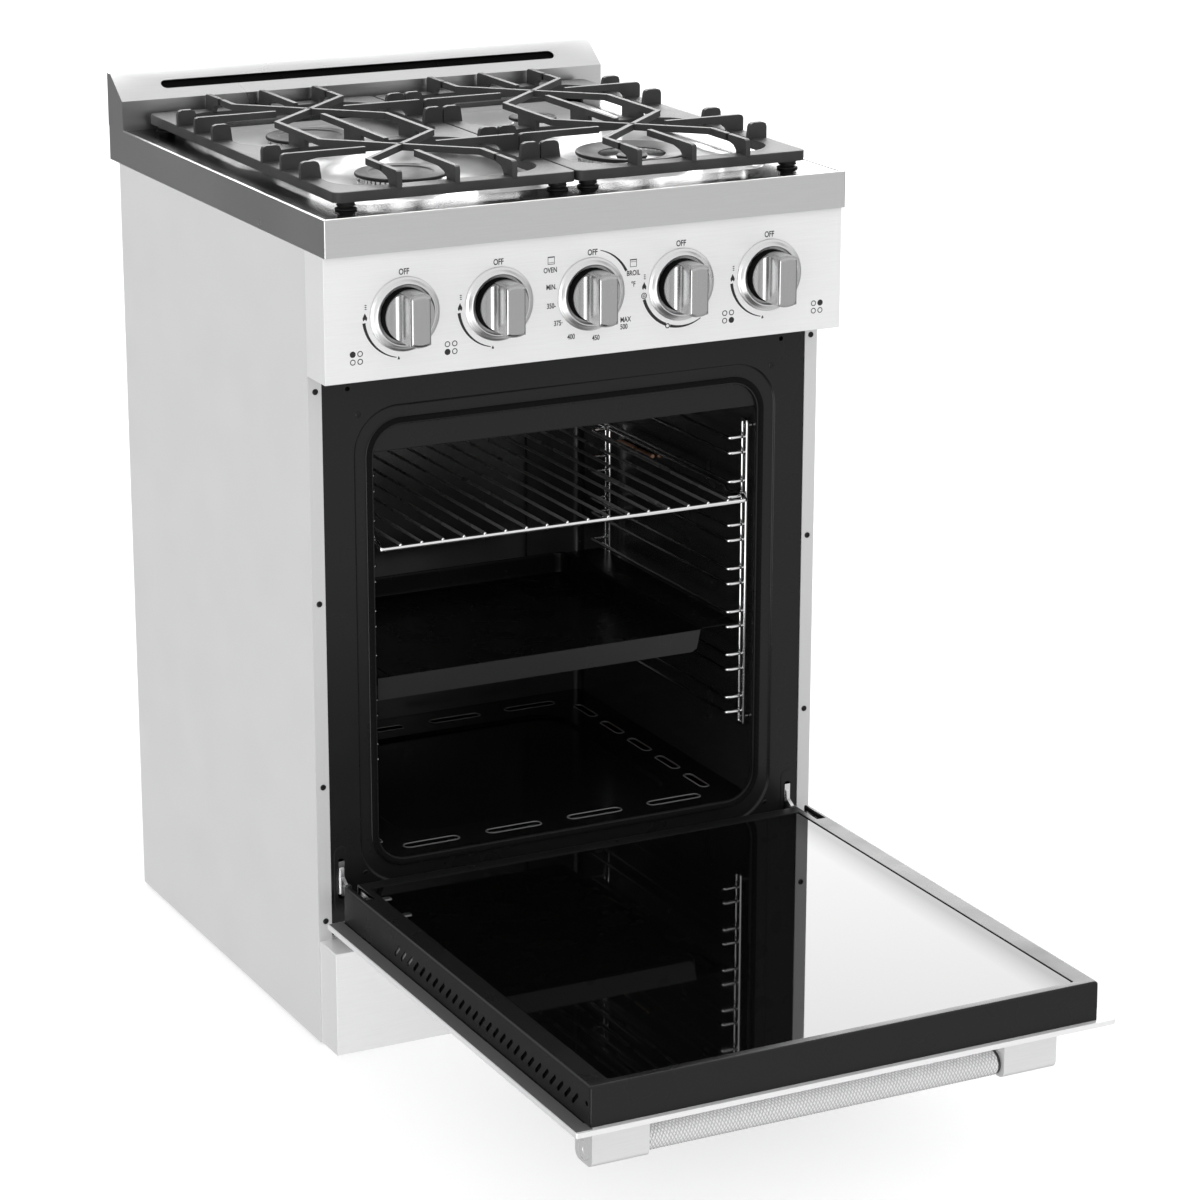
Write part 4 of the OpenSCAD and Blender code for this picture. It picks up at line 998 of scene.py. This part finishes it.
def print_patch(bm, outline):
    bm.faces.new([bm.verts.new(mm(x, PRINT_Y, z)) for x, z in outline])


def print_box(bm, x0, z0, x1, z1):
    print_patch(bm, [(x0, z0), (x1, z0), (x1, z1), (x0, z1)])


def print_ring(bm, x, z, r, width):
    sweep(bm, [facing(arc(x, z, q, 0, 360, 24)[:-1], PRINT_Y) for q in (r - width, r)])


def print_sweep(bm, x, z, r, start, end, wide, thin):
    """An arc whose line gets thinner along its length."""
    steps = 24
    rows = []
    for i in range(steps + 1):
        t = i / steps
        a = radians(start + (end - start) * t)
        half = (wide * (1 - t) + thin * t) / 2
        rows.append([bm.verts.new(mm(x + q * cos(a), PRINT_Y, z + q * sin(a))) for q in (r - half, r + half)])
    for a, b in zip(rows, rows[1:]):
        bm.faces.new((a[0], a[1], b[1], b[0]))


def print_flame(bm, x, z, size):
    shape = [(0, 1.2), (0.35, 0.5), (0.62, 0.0), (0.6, -0.5), (0.3, -0.9), (0.12, -0.5), (-0.12, -0.5),
             (-0.3, -0.9), (-0.6, -0.5), (-0.62, 0.0), (-0.35, 0.5)]
    print_patch(bm, [(x + a * size, z + b * size) for a, b in shape])


def print_spark(bm, x, z, size):
    for up in (0.75, 0, -0.75):
        shape = ((-0.55, 0.15), (0, 0.35), (0.55, 0.15), (0, -0.15))
        print_patch(bm, [(x + a * size, z + (up + b) * size) for a, b in shape])


def print_text(bm, text, x, z, height):
    """Narrow upright lettering."""
    curve = bpy.data.curves.new("print", "FONT")
    curve.body = text
    curve.align_x = "CENTER"
    curve.offset = 0.024
    holder = add("print", curve)
    mesh = as_modified(holder)
    capital, narrow = 0.69, 0.76
    tall = height / capital
    first = len(bm.verts)
    bm.from_mesh(mesh)
    bm.verts.ensure_lookup_table()
    for v in bm.verts[first:]:
        v.co = mm(x + v.co.x * tall * narrow, PRINT_Y, z - height / 2 + v.co.y * tall)
    bpy.data.objects.remove(holder)
    bpy.data.meshes.remove(mesh)
    bpy.data.curves.remove(curve)


def print_oven(bm, x, z, heat):
    """Small picture of an oven: a box, a rail across its top, and the heat at a level inside."""
    for a, b, c, d in ((-4, -4.2, 4, -3.6), (-4, 3.0, 4, 4.2), (-4, -4.2, -3.4, 4.2), (3.4, -4.2, 4, 4.2)):
        print_box(bm, x + a, z + b, x + c, z + d)
    for k in range(-2, 3):
        print_box(bm, x + k * 1.2 - 0.3, z + heat - 0.5, x + k * 1.2 + 0.3, z + heat + 0.5)


def make_print():
    """Marks printed round the knobs, just in front of the panel."""
    bm = bmesh.new()
    for x in KNOB_X:
        print_text(bm, "OFF", x + (2 if x == 0 else 0), 852.5, 6.0)
    for x in (KNOB_X[0], KNOB_X[1], KNOB_X[4]):
        print_spark(bm, x - 43, 819.0, 2.7)
        print_flame(bm, x - 44, 808.5, 4.0)
        print_sweep(bm, x, KNOB_Z, 45.5, 187, 258, 3.5, 0.9)
        print_flame(bm, x - 7, 762.8, 1.9)
    x = KNOB_X[3]
    print_spark(bm, x - 43, 820, 2.7)
    print_flame(bm, x - 43.6, 810, 4.0)
    print_ring(bm, 62.8, 800, 3.4, 0.9)
    print_ring(bm, 62.8, 800, 1.7, 0.8)
    print_sweep(bm, x, KNOB_Z, 45.3, 196, 247, 3.6, 3.2)
    print_ring(bm, 91, 765, 2.8, 1.1)
    print_sweep(bm, x, KNOB_Z, 45.6, 254, 302, 3.2, 0.9)
    # which burner each knob is for: four dots, one of them solid
    for x, solid in ((-267, (-1, 1)), (-161, (-1, -1)), (164, (1, -1)), (273, (1, 1))):
        for at in ((-1, 1), (1, 1), (-1, -1), (1, -1)):
            dot = (x + at[0] * 4.1, 767.6 + at[1] * 4.1)
            if at == solid:
                print_patch(bm, arc(*dot, 3.3, 0, 360, 24)[:-1])
            else:
                print_ring(bm, *dot, 3.1, 0.95)
    print_oven(bm, -46, 848, -2.2)
    for text, x, z in (("OVEN", -47, 838), ("MIN.", -46, 820), ("350-", -46, 800), ("375·", -38, 781),
                       ("400", -23, 765), ("450", 6, 761), ("MAX", 41, 777), ("500", 39, 769.5),
                       ("°F", 50, 814), ("BROIL", 50, 826)):
        print_text(bm, text, x, z, 5.3)
    print_oven(bm, 50, 836.5, 1.4)
    print_sweep(bm, 0, KNOB_Z, 46.4, 26, 76, 3.0, 0.8)
    piece("panel_print", bm, "print_black")


# ---- door


def make_door_skin():
    """Outer sheet with folded hems and a window opening, and the black flanges inside the hems."""
    lo, hi, plan, _ = box_mm("door_skin")
    wx, wy, ww, wd = box_mm("door_window")[2]
    hem, t = 20, SHEET
    outside = [(hem, hi.z), (1.1, hi.z), (0.3, hi.z - 0.3), (0, hi.z - 1.1), (0, lo.z + 1.4), (0.4, lo.z + 0.4),
               (1.4, lo.z)]
    opening = [(-0.6, 18.6, lo.z), (0, 18, lo.z + 0.5), (0, 18, lo.z + t)]
    inside = [(t, lo.z + t), (t, hi.z - t), (hem, hi.z - t)]
    outside, inside = (stack(plan, [(inset, 2, z) for inset, z in rows], flat, 5) for rows in (outside, inside))
    bm = bmesh.new()
    sweep(bm, outside + stack((wx, wy, ww - 30, wd - 30), opening, flat, 5) + inside, joined=True)
    piece("door_skin_sheet", bm, "front_steel", "door_skin", "door")

    bm = bmesh.new()
    for a, b, short in ((lo.x + 1.6, lo.x + 19, 3), (hi.x - 19, hi.x - 1.6, 36)):
        block(bm, (a, lo.y + short, hi.z - 0.3), (b, hi.y - 2, hi.z + 0.35), 0.15, 1)
    piece("door_side_flanges", bm, "flange_enamel", None, "door")
    box_lo, box_hi = box_mm("door_inner_frame")[:2]
    # painted shade: near-black strips just inside the slotted sides, where the box is only in shade; the thin strips
    # at the seams are dark joints
    bm = bmesh.new()
    for s in SIDES:
        x = s * (box_hi.x - 3.2)
        block(bm, (x - 0.4, box_lo.y + 30, box_lo.z + 1), (x + 0.4, box_hi.y - 90, box_hi.z - 6))
        seam = s * (box_hi.x + 0.5)
        block(bm, (seam - 0.6, box_lo.y + 12, hi.z), (seam + 0.6, box_hi.y - 2, hi.z + 0.5))
    piece("door_slot_shade_and_seams", bm, "soot_black", None, "door")


def make_door_box():
    """Black inner frame with slanted vent slots, the inner glass in its sill, and the glass clips."""
    lo, hi, plan, _ = box_mm("door_inner_frame")
    glass_lo, glass_hi, pane, _ = box_mm("door_inner_glass")
    r, shelf, top = 3.2, lo.z + 36.5, hi.z
    rim = [(1.2, 1.6, lo.z), (0, 1.6, lo.z)]
    rim += [(r - r * cos(a), 1.6 + r * 0.4, top - r + r * sin(a)) for a in (0, 0.4, 0.8, 1.2, pi / 2)]
    sill = [(-1.4, top), (-0.7, top - 0.4), (-0.6, top - 1.2), (-0.6, shelf), (14, shelf), (14, shelf - 1.2),
            (-2, shelf - 1.2), (-2, top - 1.6)]
    bm = bmesh.new()
    sweep(bm, stack(plan, rim, flat, 5) + stack(pane, [(inset, 1.5, z) for inset, z in sill], flat, 5)
          + stack(plan, [(1.4, 1.6, top - 3), (1.2, 1.6, top - 6)], flat, 5), joined=True)
    made = piece("door_box", bm, "black_enamel", "door_inner_frame", "door")
    bm = bmesh.new()
    pitch, lean = 15.76, sqrt(0.5)
    for s in SIDES:
        x, end = s * HINGE_X, hi.y + 2
        block(bm, (x - 5.5, hi.y - 48, hi.z - 9), (x + 5.5, end, hi.z + 2))
        block(bm, (x - 5.5, hi.y - 6, lo.z - 2), (x + 5.5, end, hi.z + 2))
        side = s * (hi.x - 0.5)
        for k in range(27):
            y, z = FRONT - 114 - pitch * k, lo.z + 17.5
            outline = [(y + (a - b) * lean, z + (a + b) * lean) for a, b in stadium(0, 0, 4.4, 18.5, 4)]
            prism(bm, outline, "X", side - 2, side + 2)
        disc(bm, 2.6, side - 2, side + 2, (0, lo.y + 8, lo.z + 22), "X", 16)
        block(bm, (side - 0.3 - s * 0.6, lo.y + 12.2, lo.z - 1), (side + 0.3 + s * 0.6, lo.y + 12.9, hi.z - 4))
    cut(made, bm)

    bm = bmesh.new()
    face = glass_hi.z
    edge = [(0, 2.5, glass_lo.z), (0, 2.5, face - 0.8), (0.25, 2.5, face - 0.25), (0.8, 2.5, face)]
    sweep(bm, stack(pane, edge, flat, 5), True, True)
    piece("door_glass", bm, "inner_glass", "door_inner_glass", "door")

    bm = bmesh.new()
    x = glass_lo.x + 3.5
    for y in (FRONT - 28, FRONT - 79):
        block(bm, (x - 4, y - 3.2, hi.z - 1.3), (x + 4, y + 3.2, hi.z - 0.05), 0.5)
    piece("glass_clips", bm, "hinge_steel", None, "door")


def make_hinges():
    """Hinge arms: a flat link in the socket, and a hooked arm that ends at the pin."""
    pin_y, pin_z, y = FRONT + 19, 157, FRAME_Y
    arm = [(y + 30, 172), (y + 30, 204), (y + 4, 204), (y - 2.5, 199), (y - 3.6, 190), (y - 9, 187), (y - 16, 183),
           (y - 24, 176), (y - 30, 170), (pin_y - 1, pin_z + 6), (pin_y - 5.6, pin_z + 2.5),
           (pin_y - 5.6, pin_z - 2.5), (pin_y - 1, pin_z - 5.9), (pin_y + 6, pin_z - 4), (pin_y + 16, pin_z + 7),
           (y - 12, 172), (y - 4, 168.5)]
    bm = bmesh.new()
    for s in SIDES:
        x = s * HINGE_X
        prism(bm, arm, "X", x - 2, x + 2, 0.5)
        block(bm, (x - 3.4, y - 1.1, 170 if s < 0 else 186), (x + 3.4, y + 6, 207), 0.8)
        block(bm, (x - 4.2, y - 18, 178), (x + 4.2, y - 12, 184.5), 1.0)
        block(bm, (x - 4.4, y - 33, 167), (x + 4.4, y - 27, 175), 1.2)
    piece("hinge_links", bm, "hinge_steel", "hinge_arms")


def make_handle():
    """Knurled bar with a black ring at each end, held by two blocks that have round plugs in their faces."""
    (_, cy, _, _), (_, cz, w, h) = box_mm("handle_bar")[2:]
    lo, hi = box_mm("handle_ends")[:2]
    at, r, half, neck = (0, cy, cz), h / 2, w / 2, 3.2
    profile = [(0, -half), (r - 2, -half), (r - 2, neck - half), (r - 0.6, neck - half), (r - 0.1, neck + 0.7 - half)]
    rows, depth = 260, 0.28
    for i in range(rows + 1):
        x = -half + neck + 1.4 + (2 * half - 2 * neck - 2.8) * i / rows
        profile.append((r - depth * (i % 2), x))
    profile += [(r - 0.1, half - neck - 0.7), (r - 0.6, half - neck), (r - 2, half - neck), (r - 2, half), (0, half)]
    bm = bmesh.new()
    lathe(bm, profile, at, "X", 96)
    piece("grip", bm, "handle_steel", "handle_bar", "door", smooth=30)
    bm = bmesh.new()
    for s in SIDES:
        a = s * (half - neck + 0.2)
        lathe(bm, [(r - 2.4, a), (r - 0.9, a), (r - 0.9, s * half), (r - 2.4, s * half), (r - 2.4, a)], at, "X", 64)
    piece("grip_rings", bm, "black_plastic", None, "door")

    q = 9
    section = [(lo.y, hi.z), (lo.y, lo.z + q)] + arc(lo.y + q, lo.z + q, q, 180, 270)[1:]
    section += arc(hi.y - q, lo.z + q, q, 270, 360) + [(hi.y, hi.z)]
    blocks, holes, plugs = bmesh.new(), bmesh.new(), bmesh.new()
    for s in SIDES:
        face = s * hi.x
        prism(blocks, section, "X", s * half, face, 1.3, 3)
        disc(holes, 10.8, face - s * 1.2, face + s * 2, at, "X", 48)
        plug = [(0, 1.8), (9.4, 1.8), (9.4, 0.5), (8.8, 0.1), (3.4, 0.1), (3.0, 0.9), (0, 0.9)]
        lathe(plugs, [(pr, face - s * deep) for pr, deep in plug], at, "X", 48)
    cut(piece("handle_blocks", blocks, "handle_end_steel", "handle_ends", "door"), holes)
    piece("handle_plugs", plugs, "handle_end_steel", None, "door")


# ---- floor and light


def make_floor():
    g = Graph("floor_white", grey(0.40), 0.6, 0.0, 0.1)
    g.shader["Emission Color"].default_value = (1, 1, 1, 1)
    g.shader["Emission Strength"].default_value = 0.66
    g.rough(g.spread(g.noise(2.0), 0.55, 0.7))
    bm = bmesh.new()
    size, below = 26, -0.0005
    bm.faces.new([bm.verts.new((x * size, y * size, below)) for x, y in ((-1, -1), (1, -1), (1, 1), (-1, 1))])
    mesh = mesh_of("floor", bm)
    mesh.materials.append(g.material)
    floor = add("floor", mesh)
    floor.visible_glossy = False


def make_world():
    """White studio. Mirror-like faces see a bright wall behind on the right and darker sides low down."""
    world = bpy.data.worlds.new("studio")
    bpy.context.scene.world = world
    world.use_nodes = True
    world.cycles.sampling_method = "NONE"
    tree = world.node_tree
    right, back, up = axes(tree.nodes.new("ShaderNodeTexCoord").outputs["Generated"])

    def band(*ramps):
        """The product of ramps that rise from 0 to 1, each given as an axis, a start and an end."""
        parts = [ramp(axis, min(a, b), max(a, b), int(a > b), int(a < b)) for axis, a, b in ramps]
        return calc("MULTIPLY", calc("MULTIPLY", *parts[:2]), parts[2])

    low_level = ramp(back, -0.5, 0.5, 0.80, 0.22)
    strip = band((right, -0.90, -0.76), (right, -0.40, -0.56), (back, -0.25, -0.45))
    side = ramp(right, 0.62, 0.85, ramp(strip, 0.0, 1.0, low_level, 4.0), 0.35)
    around = ramp(up, -0.12, 0.35, side, 1.0)
    wall = band((back, 0.35, 0.60), (right, -0.05, 0.15), (up, 0.0, 0.10))
    mirror = ramp(wall, 0.0, 1.0, around, 5.3)
    glossy = tree.nodes.new("ShaderNodeLightPath").outputs["Is Glossy Ray"]
    background = tree.nodes["Background"].inputs
    background["Color"].default_value = (1, 1, 1, 1)
    tree.links.new(ramp(glossy, 0.0, 1.0, 1.06, mirror), background["Strength"])


# ---- the scene

make_trim()
make_pan()
make_grate("left")
make_grate("right")
make_caps()
make_backguard()
make_side("side_panel_left", -1)
make_side("side_panel_right", 1)
make_front_sheet("control_panel")
make_front_sheet("kick_panel")
make_front_frame()
make_screws()
make_liner()
make_oven_floor()
make_wires()
make_tray()
make_bezels()
for number in range(1, 6):
    make_knob(number)
make_print()
make_door_skin()
make_door_box()
make_hinges()
make_handle()
for made in MESH_PIECES:
    flatten_shading(made)
make_floor()
make_world()
make_camera()
bpy.context.scene.view_settings.view_transform = "Standard"
